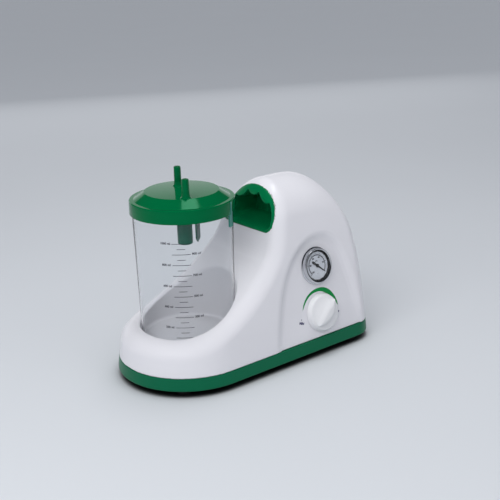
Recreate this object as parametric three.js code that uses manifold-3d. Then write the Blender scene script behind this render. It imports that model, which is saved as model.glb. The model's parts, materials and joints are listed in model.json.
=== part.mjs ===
// Portable ward suction unit: a moulded housing with a jar well, a carrying pocket and a leaning
// control panel, on a tray with four feet. A piston pump inside draws air through the jar.
// Millimetres, +Z up. The jar end faces -X, the control panel faces -Y, the feet stand on z = 0.
import * as THREE from "three";
import { mergeVertices } from "three/addons/utils/BufferGeometryUtils.js";
import Module from "manifold-3d";

const wasm = await Module();
wasm.setup();

// Clearances
const gap = 0.3;
const overrun = 5;
const weld = 0.0002;

// Feet and tray screws
const footHeight = 6.8;
const footRadius = 9;
const footDraft = 0.8;
const footBore = 3.9;
const footSeat = 1.9;
const screwHeadRadius = 3.1;
const screwHeadHeight = 2.4;
const screwRadius = 1.5;
const screwLength = 24;

// Footprint shared by tray and housing
const endRadius = 83;
const rearReach = 223;
const rearCorner = 30;
const wall = 2.6;
const wallLean = 0.12;
const wallBend = 1800;

// Tray
const trayHeight = 15.2;
const trayFloor = 2.6;
const trayChamfer = 2.2;
const trayLip = 4;
const trayLipWall = 1.8;
const trayLipPlay = 1;
const trayBossHeight = 9;
const trayBossRadius = 6.4;
const ventLength = 34;
const ventWidth = 3;
const ventPitch = 8;
const ventCount = 5;

// Housing skin
const rimHeight = 54;
const ridgeHeight = 204;
const ridgeX = 140;
const rearShoulder = 165;
const rearFallPower = 2.3;
const shoulderRound = 39;
const edgeRound = 16;
const postRadius = 5.2;
const postInset = 15.7;
const postTurn = 2.3;
const postTop = 72;
const rearPostInset = 35;

// Jar well
const wellPlay = 1.3;
const wellDraft = 2.6;
const wellFloor = 39.6;

// Jar
const jarTopRadius = 55.8;
const jarFootRadius = 53.3;
const jarWall = 2.5;
const jarFootRound = 5;
const jarFloor = 4.2;

// Lid
const lidRadius = 58.5;
const lidSkirt = 15.1;
const lidWall = 2.1;
const lidTop = 202.7;
const lidFlat = 5.4;
const lidRise = 7.9;
const lidDiscRadius = 41.2;
const lidDraft = 0.5;
const lidPlay = 0.5;
const tabTurn = -1.2;
const tabWidth = 7;
const tabDrop = 10;
const portRise = 20.5;
const portRadius = 3.7;
const portBore = 2.3;
const portFlare = 0.8;
const portTip = 1.1;
const vacuumPort = [-16.5, -31.6];
const patientPort = [7.9, 18];
const spigotRadius = 5.6;
const spigotLength = 9;
const cageRadius = 7.8;
const cageWall = 1.7;
const cageDrop = 3;
const cageLength = 43.5;
const cageMouth = 3.4;
const cageWindow = 5;
const cageWindowHeight = 14;
const ballRadius = 5.4;
const gasketHeight = 1.6;
const baffleX = 12.5;
const baffleY = -10;
const baffleTurn = 0.8;
const baffleLength = 44;
const baffleDepth = 24;
const baffleWall = 2;

// Carrying pocket
const pocketSide = 42;
const pocketSill = 150;
const pocketJamb = 11;
const pocketCover = 7;
const pocketCorner = 8;
const pocketWall = 2.4;
const pocketLip = 3.4;
const pocketFlush = 0.5;
const pocketFront = 60;
const pocketBack = 133;
const pocketDraft = 5;
const fingerPitch = 20;
const fingerDrop = 5.5;

// Control panel recess
const panelRecess = 1.8;
const panelLean = 0.22;
const panelLeft = 69;
const panelRight = 198.5;
const panelCrownX = 148;
const panelMargin = 11;
const panelSlope = 6;
const panelLift = 12;

// Vacuum gauge
const gaugeX = 141;
const gaugeSpace = 11.6;
const bezelRadius = 21;
const bezelHeight = 6.4;
const bezelWidth = 4.4;
const bezelLip = 0.9;
const bezelRound = 1.4;
const gaugeCaseRadius = 18.2;
const gaugeCaseDepth = 22;
const gaugeCaseWall = 1.6;
const gaugeStemLength = 9;
const lensThickness = 1.4;
const dialDrop = 4;
const dialThickness = 1;
const needleReach = 13.4;
const needleTail = 6.2;
const needleHub = 2.3;
const needleWidth = 1.7;
const needleThickness = 0.8;
const needlePin = 0.7;
const needleRest = -0.7;

// Regulator and knob
const knobX = 139;
const knobUp = 28;
const knobRadius = 23;
const knobSkirt = 6.5;
const knobDraft = 2.2;
const knobRound = 1.6;
const knobHollow = 13;
const knobHollowDepth = 3.2;
const knobGripLength = 42;
const knobGripWidth = 19;
const knobGripRise = 9;
const knobCrestWidth = 6;
const knobTurn = 0.7;
const spindleRadius = 3;
const spindleSeat = 9;
const bushRadius = 5.2;
const nutRadius = 8;
const nutHeight = 2.4;
const valveRadius = 11;
const valveLength = 24;
const barbRadius = 2.6;
const barbLength = 8;
const barbBore = 1.2;
const hoseRadius = 3.9;
const hoseStep = 18;

// Rear panel and its fittings
const rearPanelDepth = 3.5;
const rearPanelLean = 0.085;
const rearPanelWidth = 92;
const rearPanelHeight = 36;
const rearPanelUp = 28;
const rearPanelCorner = 6;
const inletWidth = 27.5;
const inletHeight = 19.5;
const inletFlange = 3;
const inletRim = 3;
const inletDepth = 20;
const inletWall = 1.8;
const inletY = -26;
const pinLength = 15;
const pinWidth = 4;
const pinThickness = 2;
const pinPitch = 7;
const fuseY = 4;
const fuseRadius = 6;
const fuseBore = 3.4;
const fuseFlange = 8.4;
const fuseFlangeHeight = 2;
const fuseDepth = 26;
const fuseCapRadius = 6.6;
const fuseCapHeight = 4;
const switchY = 30;
const switchWidth = 15;
const switchHeight = 21;
const switchDepth = 18;
const switchFlange = 2;
const switchRim = 2;
const rockerRadius = 8.9;
const rockerWidth = 11;
const rockerSink = 2;
const rockerProud = 2.4;
const rockerTilt = 0.17;

// Vacuum nozzle on the far side of the housing
const nozzleX = 112;
const nozzleZ = 104;
const nozzleReach = 15;
const nozzleStem = 16;
const nozzleFlange = 8;
const nozzleFlangeHeight = 2;

// Pump: motor, crank and cylinder
const pumpX = 85;
const pumpY = 16;
const pumpZ = 57;
const stackSide = 58;
const stackLength = 30;
const stackBore = 16.4;
const stackCorner = 8;
const windingRadius = 24;
const windingLength = 9;
const bellWall = 2.6;
const bellRadius = 27.5;
const bellLength = 15;
const bellBoss = 11.4;
const bearingRadius = 8;
const bearingWidth = 6;
const shaftRadius = 3;
const rotorRadius = 15.8;
const fanRadius = 25;
const fanWidth = 8;
const fanHub = 7;
const fanBlades = 7;
const fanBlade = 1.8;
const fanSpace = 2;
const crankcaseLength = 37;
const crankcaseSide = 50;
const crankcaseWall = 4;
const crankThrow = 2.5;
const crankRadius = 8;
const crankWidth = 7;
const rodRing = 3.2;
const rodNeck = 7;
const pistonRadius = 15.4;
const pistonHeight = 6;
const cylinderWall = 2.4;
const cylinderHeight = 19;
const headSide = 42;
const headCorner = 6;
const headHeight = 13;
const headPortOffset = 11;
const mountRadius = 7;
const mountInset = 9;
const framePlate = 3;
const frameWidth = 66;

// Muffler and capacitor on the tray
const mufflerX = 122;
const mufflerY = -36;
const mufflerRadius = 9;
const mufflerLength = 46;
const capacitorX = 188;
const capacitorY = -40;
const capacitorWidth = 18;
const capacitorLength = 34;
const capacitorHeight = 24;
const capacitorCorner = 2;
const terminalX = 184;
const terminalY = 8;
const terminalWidth = 12;
const terminalLength = 30;
const terminalHeight = 11;

// Routes of the hoses between their ends
const hoseRoutes = {
  suction: [[171, -44, 68], [170, -26, 100], [161, -6, 130]],
  gauge: [[134, -18, 84], [134, -18, 64]],
  nozzle: [[98, -42, 70], [97, -20, 99], [103, 14, 106]],
  exhaust: [[173, -24, 26], [176, -14, 56], [177, -2, 92], [172, 16, 124]],
};

// Facets
const roundSides = 30;
const smallSides = 12;
const tubeSides = 8;
const nutSides = 6;
const cornerFacets = 2;
const curveSteps = 12;
const roundingSteps = 3;
const frontSteps = 14;
const cornerSteps = 5;
const rearSteps = 4;
const skinRows = 10;
const skinPitch = 12;
const liningRows = 6;
const liningPitch = 22;
const hoseSides = 8;
const fineSteps = 72;
const bendWeight = 60;
const fingerSteps = 30;

const finishes = {
  white: { color: 0xe9e9ef, roughness: 0.3, metalness: 0 },
  green: { color: 0x0f7a45, roughness: 0.3, metalness: 0 },
  clear: { color: 0xd8dde2, roughness: 0.06, metalness: 0, transparent: true, opacity: 0.35 },
  rubber: { color: 0x1d1d1f, roughness: 0.85, metalness: 0 },
  black: { color: 0x161618, roughness: 0.45, metalness: 0 },
  chrome: { color: 0xdcdfe3, roughness: 0.12, metalness: 1 },
  steel: { color: 0x9fa3a8, roughness: 0.35, metalness: 1 },
  brass: { color: 0xb08d3e, roughness: 0.35, metalness: 1 },
  copper: { color: 0xa8552a, roughness: 0.4, metalness: 0.8 },
  alloy: { color: 0xb9bcc0, roughness: 0.45, metalness: 0.9 },
  dial: { color: 0xf1f1ec, roughness: 0.6, metalness: 0 },
  hose: { color: 0xd7dccf, roughness: 0.4, metalness: 0 },
};

// Outline points as shares of width and height, two curves a side
const saddleShares = [[-0.11, 0.03], [0.27, 0.2], [0.514, 0.447], [0.614, 0.53], [0.654, 0.693], [0.72, 0.918]];
const saddleRestShares = [-0.32, 0.017];
const saddleTopShares = [0.921, 1.632];
const panelLeftShares = [[0.07, 0.22], [0.17, 0.47], [0.3, 0.64], [0.43, 0.8], [0.66, 1], [1, 1]];
const panelRightShares = [[0.65, 1], [0.42, 0.9], [0.29, 0.62], [0.17, 0.4], [0.06, 0.2], [0, 0]];
const rearUprightShare = 0.5;
const rearFanShare = 1.6;
const stationShare = 0.3;

// Heights and places that follow from the sizes
const trayTop = footHeight + trayHeight;
const housingFoot = trayTop + gap;
const trayDeck = footHeight + trayFloor;
const bossTop = footHeight + trayBossHeight;
const pocketHalf = endRadius - pocketSide;
const pocketSpring = pocketSill + pocketJamb;
const pocketCrown = ridgeHeight - pocketCover;
const panelAngle = Math.atan(panelLean);
const wallAcross = wall / Math.cos(panelAngle);
const lidUnder = lidTop - lidWall;
const discUnder = lidUnder + lidRise;
const skirtFoot = lidTop - lidSkirt;
const gaugeUp = knobUp + knobRadius + gaugeSpace + bezelRadius;
const panelCrown = gaugeUp + bezelRadius + panelMargin;
const wellRadius = jarTopRadius + wellPlay;
const jarFoot = wellFloor + gap;
const jarTop = lidUnder - gasketHeight - 2 * gap;
const postPlace = endRadius - postInset;
const footPlaces = {
  front_near: [postPlace * Math.cos(postTurn), -postPlace * Math.sin(postTurn)],
  front_far: [postPlace * Math.cos(postTurn), postPlace * Math.sin(postTurn)],
  rear_near: [rearReach - rearPostInset, -postPlace],
  rear_far: [rearReach - rearPostInset, postPlace],
};

// Basic operations

function solid(geometry) {
  const bare = new THREE.BufferGeometry();
  bare.setAttribute("position", geometry.getAttribute("position"));
  bare.setIndex(geometry.index);
  const merged = mergeVertices(bare, weld);
  const corners = merged.index.array;
  const kept = [];
  for (let i = 0; i < corners.length; i += 3) {
    const [a, b, c] = corners.slice(i, i + 3);
    if (a !== b && b !== c && c !== a) kept.push(a, b, c);
  }
  const vertProperties = merged.attributes.position.array;
  const triVerts = new Uint32Array(kept);
  return new wasm.Manifold(new wasm.Mesh({ numProp: 3, vertProperties, triVerts }));
}

const asSolid = (shape) => (shape.isBufferGeometry ? solid(shape) : shape);

function join(...shapes) {
  return shapes.map(asSolid).reduce((whole, next) => whole.add(next));
}

function cut(base, ...tools) {
  return tools.map(asSolid).reduce((rest, tool) => rest.subtract(tool), asSolid(base));
}

function common(a, b) {
  return asSolid(a).intersect(asSolid(b));
}

function geometryOf(body) {
  const { numProp, numVert, vertProperties, triVerts } = asSolid(body).getMesh();
  const points = new Float32Array(numVert * 3);
  for (let i = 0; i < numVert; i++) points.set(vertProperties.subarray(i * numProp, i * numProp + 3), i * 3);
  const geometry = new THREE.BufferGeometry();
  geometry.setAttribute("position", new THREE.BufferAttribute(points, 3));
  geometry.setIndex(new THREE.BufferAttribute(triVerts, 1));
  geometry.computeVertexNormals();
  return geometry;
}

function add(parent, name, body, finish) {
  const mesh = new THREE.Mesh(geometryOf(body), new THREE.MeshStandardMaterial(finishes[finish]));
  mesh.name = name;
  parent.add(mesh);
  return mesh;
}

function group(parent, x, y, z) {
  const made = new THREE.Group();
  made.position.set(x, y, z);
  parent.add(made);
  return made;
}

// A profile of [radius, height] pairs turned round the Z axis.
function revolve(profile, sides = roundSides) {
  const points = profile.map(([r, z]) => new THREE.Vector2(r, z));
  return new THREE.LatheGeometry(points, sides).rotateX(Math.PI / 2);
}

function rod(radius, from, to, sides = smallSides) {
  return revolve([[0, from], [radius, from], [radius, to], [0, to]], sides);
}

function box(width, depth, height) {
  return new THREE.BoxGeometry(width, depth, height);
}

function extrude(shape, from, to, curveSegments = curveSteps) {
  const settings = { depth: to - from, bevelEnabled: false, curveSegments };
  return new THREE.ExtrudeGeometry(shape, settings).translate(0, 0, from);
}

function roundedRectangle(width, height, corner) {
  const [x, y] = [width / 2, height / 2];
  const shape = new THREE.Shape();
  shape.moveTo(corner - x, -y);
  shape.absarc(x - corner, corner - y, corner, -Math.PI / 2, 0);
  shape.absarc(x - corner, y - corner, corner, 0, Math.PI / 2);
  shape.absarc(corner - x, y - corner, corner, Math.PI / 2, Math.PI);
  shape.absarc(corner - x, corner - y, corner, Math.PI, 1.5 * Math.PI);
  return shape;
}

// A closed body through rings of points that run anticlockwise seen from above, lowest ring first.
function loft(rings) {
  const count = rings[0].length;
  const middle = (ring) => ring.reduce((sum, p) => sum.add(p), new THREE.Vector3()).divideScalar(count);
  const points = rings.flat();
  const foot = points.push(middle(rings[0])) - 1;
  const head = points.push(middle(rings[rings.length - 1])) - 1;
  const faces = [];
  for (let i = 0; i < count; i++) {
    const j = (i + 1) % count;
    faces.push(foot, j, i);
    faces.push(head, head - 1 - count + i, head - 1 - count + j);
    for (let r = 0; r + 1 < rings.length; r++) {
      const [a, b] = [r * count + i, r * count + j];
      faces.push(a, b, b + count, a, b + count, a + count);
    }
  }
  return new THREE.BufferGeometry().setFromPoints(points).setIndex(faces);
}

// A hose through the given points, from the tip of one barb to the tip of the next.
function hose(points) {
  const extrudePath = new THREE.CatmullRomCurve3(points);
  const section = new THREE.Shape();
  section.absarc(0, 0, hoseRadius, 0, 2 * Math.PI);
  const steps = Math.ceil(extrudePath.getLength() / hoseStep);
  return new THREE.ExtrudeGeometry(section, { steps, curveSegments: hoseSides, extrudePath });
}

// Points of an outline in a plane, pushed outward by a distance.
function grow(points, distance) {
  return points.map((point, i) => {
    const before = points.at(i - 1);
    const after = points[(i + 1) % points.length];
    const along = after.clone().sub(before).normalize();
    return new THREE.Vector2(point.x + distance * along.y, point.y - distance * along.x);
  });
}

// A group whose local Z points out of a leaning wall, local Y up its slope.
function leaningFrame(parent, place, [outX, outY], lean) {
  const [level, rise] = [Math.cos(lean), Math.sin(lean)];
  const out = new THREE.Vector3(outX * level, outY * level, rise);
  const up = new THREE.Vector3(-outX * rise, -outY * rise, level);
  const side = up.clone().cross(out);
  const frame = group(parent, ...place);
  frame.setRotationFromMatrix(new THREE.Matrix4().makeBasis(side, up, out));
  frame.updateMatrix();
  return frame;
}

const inFrame = (geometry, frame) => geometry.applyMatrix4(frame.matrix);

// Housing skin: a leaning footprint, a round back and a saddle line, blended by round edges

function wallInset(z) {
  const up = z - footHeight;
  return wallLean * up + (up * up) / wallBend;
}

function footprintDistance(x, y) {
  if (x < 0) return Math.hypot(x, y) - endRadius;
  const along = x - rearReach + rearCorner;
  const across = Math.abs(y) - endRadius + rearCorner;
  if (along > 0 && across > 0) return Math.hypot(along, across) - rearCorner;
  return Math.max(along, across) - rearCorner;
}

function saddlePath() {
  const rise = ridgeHeight - rimHeight;
  const at = ([along, up]) => [ridgeX * along, rimHeight + rise * up];
  const [c1, c2, foot, c3, c4, knee] = saddleShares.map(at);
  const rest = at(saddleRestShares);
  const path = new THREE.Path();
  path.moveTo(-2 * endRadius, rest[1]);
  path.lineTo(...rest);
  path.bezierCurveTo(...c1, ...c2, ...foot);
  path.bezierCurveTo(...c3, ...c4, ...knee);
  path.lineTo(...at(saddleTopShares));
  return path.getPoints(curveSteps);
}

const saddle = saddlePath();

function saddleHeight(x) {
  const i = Math.max(1, saddle.findIndex((p) => p.x >= x));
  const [a, b] = [saddle[i - 1], saddle[i]];
  return a.y + ((b.y - a.y) * (x - a.x)) / (b.x - a.x);
}

function saddleDistance(x, z) {
  let nearest = Infinity;
  for (let i = 1; i < saddle.length; i++) {
    const [a, b] = [saddle[i - 1], saddle[i]];
    const [dx, dz] = [b.x - a.x, b.y - a.y];
    const share = THREE.MathUtils.clamp(((x - a.x) * dx + (z - a.y) * dz) / (dx * dx + dz * dz), 0, 1);
    nearest = Math.min(nearest, Math.hypot(x - a.x - share * dx, z - a.y - share * dz));
  }
  const above = x > saddle[saddle.length - 1].x ? false : z > saddleHeight(x);
  return above ? nearest : -nearest;
}

function backDistance(x, z) {
  const drop = ridgeHeight - rearShoulder;
  const length = rearReach - ridgeX;
  const share = Math.max(x - ridgeX, 0) / length;
  const slope = ((drop * rearFallPower) / length) * share ** (rearFallPower - 1);
  return (z - ridgeHeight + drop * share ** rearFallPower) / Math.hypot(1, slope);
}

function roundEdge(a, b, radius) {
  const [u, v] = [Math.max(a + radius, 0), Math.max(b + radius, 0)];
  return Math.min(Math.max(a, b), -radius) + Math.hypot(u, v);
}

function skinDistance(x, y, z) {
  const inset = wallInset(z);
  const pulled = Math.max(x - rearUprightShare * inset, Math.min(x, 0));
  const side = (footprintDistance(pulled, y) + inset) * Math.cos(panelAngle);
  const body = roundEdge(side, backDistance(x, z), shoulderRound);
  return roundEdge(body, saddleDistance(x, z), edgeRound);
}

// The vertical planes that the skin is drawn in: round the jar end, along the body, round the rear.
function skinPlanes(pitch) {
  const planes = [];
  const stations = skinStations(pitch);
  const rearX = stations[stations.length - 1];
  for (let i = 0; i <= frontSteps; i++) {
    const turn = Math.PI / 2 + (Math.PI * i) / frontSteps;
    planes.push({ x: 0, dx: Math.cos(turn), dy: Math.sin(turn) });
  }
  for (const x of stations) planes.push({ x, dx: 0, dy: -1 });
  for (const turn of rearTurns(rearX)) planes.push({ x: rearX, dx: Math.cos(turn), dy: Math.sin(turn) });
  for (const x of stations.toReversed()) planes.push({ x, dx: 0, dy: 1 });
  return planes;
}

// Directions from the rear fan's middle, close together where they meet the rounded rear corners.
function rearTurns(fanX) {
  const turns = [];
  for (let i = 1; i <= cornerSteps; i++) {
    const along = (Math.PI * i) / (2 * cornerSteps);
    const x = rearReach - rearCorner + rearCorner * Math.sin(along);
    const y = endRadius - rearCorner + rearCorner * Math.cos(along);
    turns.push(Math.atan2(y, x - fanX));
  }
  const last = turns.at(-1);
  for (let i = 1; i < rearSteps / 2; i++) turns.push(last * (1 - (2 * i) / rearSteps));
  return [...turns.map((turn) => -turn), 0, ...turns.toReversed()];
}

function skinStations(pitch) {
  const stations = [];
  const end = rearReach - rearFanShare * rearCorner;
  let x = 0;
  while (x < end - pitch / 2) {
    const slope = x < ridgeX - gap ? (saddleHeight(x + gap) - saddleHeight(x)) / gap : 0;
    x += Math.max(pitch / Math.hypot(1, slope), pitch * stationShare);
    stations.push(Math.min(x, end));
  }
  return stations;
}

function skinRay(plane, angle, inward) {
  const [flat, up] = [Math.cos(angle), Math.sin(angle)];
  const at = (t) => [plane.x + plane.dx * flat * t, plane.dy * flat * t, housingFoot + up * t];
  let [inside, outside] = [0, 3 * endRadius];
  for (let i = 0; i < 30; i++) {
    const middle = (inside + outside) / 2;
    if (skinDistance(...at(middle)) < -inward) inside = middle;
    else outside = middle;
  }
  return new THREE.Vector3(...at(inside));
}

// One line up the skin in a plane, its points closest together where it bends most.
function skinLine(plane, inward, rows) {
  const fine = [];
  for (let i = 0; i <= fineSteps; i++) fine.push(skinRay(plane, (Math.PI / 2) * (i / fineSteps), inward));
  const weights = [0];
  for (let i = 1; i < fine.length; i++) {
    const step = fine[i].clone().sub(fine[i - 1]);
    const next = fine[Math.min(i + 1, fineSteps)].clone().sub(fine[i]);
    const bend = i < fineSteps ? step.angleTo(next) : 0;
    weights.push(weights[i - 1] + step.length() + bendWeight * bend);
  }
  const line = [];
  let i = 1;
  for (let row = 0; row <= rows; row++) {
    const target = (weights[fineSteps] * row) / rows;
    while (i < fineSteps && weights[i] < target) i++;
    const share = (target - weights[i - 1]) / (weights[i] - weights[i - 1]);
    line.push(fine[i - 1].clone().lerp(fine[i], share));
  }
  return line;
}

// The skin moved inward, closed below at the given height.
function skinBody(inward, bottom, rows, pitch) {
  const planes = skinPlanes(pitch);
  const lines = planes.map((plane) => skinLine(plane, inward, rows));
  lines.forEach((line, i) => {
    const root = line[0].clone().setZ(bottom);
    const spine = new THREE.Vector3(planes[i].x, 0, bottom);
    line.at(-1).setY(0);
    line.unshift(spine, root);
    if (root.z === line[2].z) line.splice(1, 1);
  });
  const height = lines[0].length;
  const faces = [];
  lines.forEach((line, i) => {
    const next = ((i + 1) % lines.length) * height;
    for (let row = 0; row + 1 < height; row++) {
      const [a, b] = [i * height + row, next + row];
      faces.push(a, b, b + 1, a, b + 1, a + 1);
    }
  });
  return solid(new THREE.BufferGeometry().setFromPoints(lines.flat()).setIndex(faces));
}

// Tray and feet

// The footprint at a height, pulled in by a margin, anticlockwise seen from above.
function footprintRing(z, margin) {
  const inset = wallInset(z) + margin;
  const corner = rearCorner - inset;
  const rearX = rearReach - rearCorner + rearUprightShare * wallInset(z);
  const side = endRadius - rearCorner;
  const arc = (x, y, radius, from, turn, steps) =>
    Array.from({ length: steps + 1 }, (_, i) => {
      const angle = from + (turn * i) / steps;
      return new THREE.Vector3(x + radius * Math.cos(angle), y + radius * Math.sin(angle), z);
    });
  return [
    ...arc(0, 0, endRadius - inset, Math.PI / 2, Math.PI, frontSteps),
    ...arc(rearX, -side, corner, -Math.PI / 2, Math.PI / 2, cornerSteps),
    ...arc(rearX, side, corner, 0, Math.PI / 2, cornerSteps),
  ];
}

function buildTray(parent, panel) {
  const lipMargin = wallAcross + trayLipPlay;
  const inside = lipMargin + trayLipWall;
  const floorRing = footprintRing(footHeight, trayChamfer);
  const sideRing = footprintRing(footHeight + trayChamfer, 0);
  const pan = loft([floorRing, sideRing, footprintRing(trayTop, 0)]);
  const lip = cut(
    loft([footprintRing(trayTop - gap, lipMargin), footprintRing(trayTop + trayLip, lipMargin)]),
    inFrame(panelSpace(wall + 2 * gap), panel),
  );
  const hollow = loft([footprintRing(trayDeck, inside), footprintRing(trayTop + trayLip + overrun, inside)]);
  let tray = cut(join(pan, lip), hollow);
  for (const [x, y] of Object.values(footPlaces)) {
    tray = join(tray, rod(trayBossRadius, trayDeck - gap, bossTop, tubeSides).translate(x, y, 0));
    tray = cut(tray, rod(screwRadius + gap, footHeight - overrun, bossTop + overrun, tubeSides).translate(x, y, 0));
  }
  const middle = pumpX + stackLength / 2;
  for (let i = 0; i < ventCount; i++) {
    const x = middle + (i - (ventCount - 1) / 2) * ventPitch;
    tray = cut(tray, box(ventWidth, ventLength, 2 * overrun).translate(x, pumpY, trayDeck));
  }
  add(parent, "base_tray", tray, "green");
}

function buildFeet(parent) {
  const top = footHeight - gap;
  const profile = [
    [footBore, 0],
    [footRadius - footDraft, 0],
    [footRadius, top],
    [footSeat, top],
    [footSeat, top - footSeat],
    [footBore, top - footSeat],
    [footBore, 0],
  ];
  const headTop = top - footSeat - gap;
  const screw = join(
    rod(screwHeadRadius, headTop - screwHeadHeight, headTop, tubeSides),
    rod(screwRadius, headTop - gap, headTop + screwLength, tubeSides),
  );
  for (const [name, [x, y]] of Object.entries(footPlaces)) {
    add(group(parent, x, y, 0), "foot_" + name, revolve(profile, smallSides), "rubber");
    add(group(parent, x, y, 0), "tray_screw_" + name, screw, "steel");
  }
}

// Housing

// The carrying pocket's D outline at x: a flat sill, round corners and an arch, anticlockwise from behind.
function pocketRing(x, inset, fingers, steps) {
  const half = pocketHalf - inset;
  const sill = pocketSill + inset;
  const rise = pocketCrown - inset - pocketSpring;
  const ring = [];
  const put = (y, z) => ring.push(new THREE.Vector3(x, y, z));
  for (const side of [-1, 1]) {
    for (let i = 0; i <= roundingSteps; i++) {
      const angle = ((side < 0 ? i : roundingSteps - i) * Math.PI) / (2 * roundingSteps);
      const reach = half - pocketCorner + pocketCorner * Math.cos(angle);
      put(side * reach, sill + pocketCorner - pocketCorner * Math.sin(angle));
    }
  }
  for (let i = 0; i <= steps; i++) {
    const turn = (Math.PI * i) / steps;
    const y = half * Math.cos(turn);
    const near = Math.abs(y) < 1.5 * fingerPitch;
    const drop = near ? (fingers * (1 + Math.cos((2 * Math.PI * y) / fingerPitch))) / 2 : 0;
    put(y, pocketSpring + rise * Math.sin(turn) - drop);
  }
  return ring;
}

function pocketBlock(margin, back) {
  return loft([pocketFront, back].map((x) => pocketRing(x, -margin, 0, curveSteps)));
}

function buildPocket(parent) {
  const outer = pocketBlock(0, pocketBack);
  const inner = loft([
    pocketRing(pocketFront - overrun, pocketLip, fingerDrop, fingerSteps),
    pocketRing(pocketBack - pocketWall, pocketLip + pocketDraft, fingerDrop, fingerSteps),
  ]);
  const skin = skinBody(pocketFlush, housingFoot, skinRows, skinPitch);
  add(parent, "handle_pocket", cut(common(outer, skin), inner), "green");
}

function panelOutline(distance) {
  const leftAt = ([along, up]) => [panelLeft + (panelCrownX - panelLeft) * along, panelCrown * up];
  const rightAt = ([along, up]) => [panelRight - (panelRight - panelCrownX) * along, panelCrown * up];
  const [a, b, c, d, e, crown] = panelLeftShares.map(leftAt);
  const [f, g, h, i, j, end] = panelRightShares.map(rightAt);
  const shape = new THREE.Path();
  shape.moveTo(panelLeft, -2 * overrun);
  shape.lineTo(panelLeft, 0);
  shape.bezierCurveTo(...a, ...b, ...c);
  shape.bezierCurveTo(...d, ...e, ...crown);
  shape.bezierCurveTo(...f, ...g, ...h);
  shape.bezierCurveTo(...i, ...j, ...end);
  shape.lineTo(panelRight, -2 * overrun);
  return grow(shape.getPoints(curveSteps / 2).reverse(), distance);
}

// The space in front of the control panel, with sloped edges, in the panel's own frame.
function panelSpace(margin) {
  const ringAt = (z, distance) => panelOutline(distance).map((p) => new THREE.Vector3(p.x, p.y, z));
  return loft([ringAt(-margin, margin), ringAt(panelLift, margin + panelSlope)]);
}

function rearPanelSpace(margin) {
  const corner = rearPanelCorner + margin;
  const shape = roundedRectangle(rearPanelWidth + 2 * margin, rearPanelHeight + 2 * margin, corner);
  return extrude(shape, -margin, panelLift, curveSteps / 4).translate(0, rearPanelUp, 0);
}

function wellSpace(margin) {
  const foot = wellFloor - margin;
  const top = ridgeHeight + overrun;
  const radius = wellRadius + margin;
  const footRadius = radius - wellDraft;
  return revolve([[0, foot], [footRadius, foot], [radius, pocketSill], [radius, top], [0, top]]);
}

function buildHousing(parent, frames) {
  const { panel, rear, nozzle } = frames;
  const posts = join(...Object.values(footPlaces).map(([x, y]) =>
    rod(postRadius, bossTop + gap, postTop, tubeSides).translate(x, y, 0)));
  const postFeet = cut(posts, box(3 * rearReach, 3 * endRadius, postTop).translate(0, 0, housingFoot + gap + postTop / 2));
  const kept = join(
    wellSpace(wall),
    inFrame(panelSpace(wall), panel),
    inFrame(rearPanelSpace(wall), rear),
    posts,
  );
  const hollow = cut(skinBody(wallAcross, housingFoot - overrun, liningRows, liningPitch), kept);
  const screwHoles = Object.values(footPlaces).map(([x, y]) =>
    rod(screwRadius + gap, bossTop - overrun, footHeight + screwLength, tubeSides).translate(x, y, 0));
  const shell = cut(
    join(cut(skinBody(0, housingFoot, skinRows, skinPitch), hollow), postFeet),
    wellSpace(0),
    inFrame(panelSpace(0), panel),
    inFrame(rearPanelSpace(0), rear),
    pocketBlock(gap, pocketBack + gap),
    inFrame(rod(gaugeCaseRadius + gap, -overrun, overrun, roundSides).translate(gaugeX, gaugeUp, 0), panel),
    inFrame(rod(bushRadius + gap, -overrun, overrun).translate(knobX, knobUp, 0), panel),
    inFrame(box(inletWidth + 2 * gap, inletHeight + 2 * gap, 2 * overrun).translate(inletY, rearPanelUp, 0), rear),
    inFrame(rod(fuseRadius + gap, -overrun, overrun).translate(fuseY, rearPanelUp, 0), rear),
    inFrame(box(switchWidth + 2 * gap, switchHeight + 2 * gap, 2 * overrun).translate(switchY, rearPanelUp, 0), rear),
    inFrame(rod(barbRadius + gap, -2 * overrun, overrun), nozzle),
    ...screwHoles,
  );
  add(parent, "housing_shell", shell, "white");
}

// Jar and lid

function buildJar(parent) {
  const top = jarTopRadius;
  const foot = jarFootRadius;
  const rounding = [];
  for (let i = 0; i <= roundingSteps; i++) {
    const turn = -Math.PI / 2 + (Math.PI * i) / (2 * roundingSteps);
    const reach = foot - jarFootRound + jarFootRound * Math.cos(turn);
    rounding.push([reach, jarFoot + jarFootRound + jarFootRound * Math.sin(turn)]);
  }
  const inside = jarFoot + jarFloor;
  const profile = [
    [0, jarFoot],
    ...rounding,
    [top, jarTop],
    [top - jarWall, jarTop],
    [foot - jarWall, inside + jarFootRound],
    [foot - jarWall - jarFootRound / 3, inside + jarFootRound / 3],
    [foot - jarWall - jarFootRound, inside],
    [0, inside],
  ];
  add(parent, "collection_jar", revolve(profile, roundSides), "clear");
}

function lidShell() {
  const skirtInside = jarTopRadius + lidPlay;
  const discInside = lidDiscRadius - lidWall / 2;
  return revolve([
    [0, discUnder],
    [discInside, discUnder],
    [lidRadius - lidFlat - lidWall, lidUnder],
    [skirtInside, lidUnder],
    [skirtInside, skirtFoot],
    [lidRadius, skirtFoot],
    [lidRadius - lidDraft / 2, lidTop - 2 * lidDraft],
    [lidRadius - 2 * lidDraft, lidTop],
    [lidRadius - lidFlat, lidTop],
    [lidDiscRadius, lidTop + lidRise],
    [0, lidTop + lidRise],
  ]);
}

function hosePort(x, y) {
  const base = discUnder + lidWall;
  const tip = base + portRise;
  const profile = [
    [0, discUnder - spigotLength],
    [spigotRadius, discUnder - spigotLength],
    [spigotRadius, discUnder + gap],
    [portRadius + portFlare, base],
    [portRadius, base + portTip],
    [portRadius, tip - portTip],
    [portRadius - portTip / 2, tip],
    [0, tip],
  ];
  return revolve(profile, smallSides).translate(x, y, 0);
}

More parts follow.
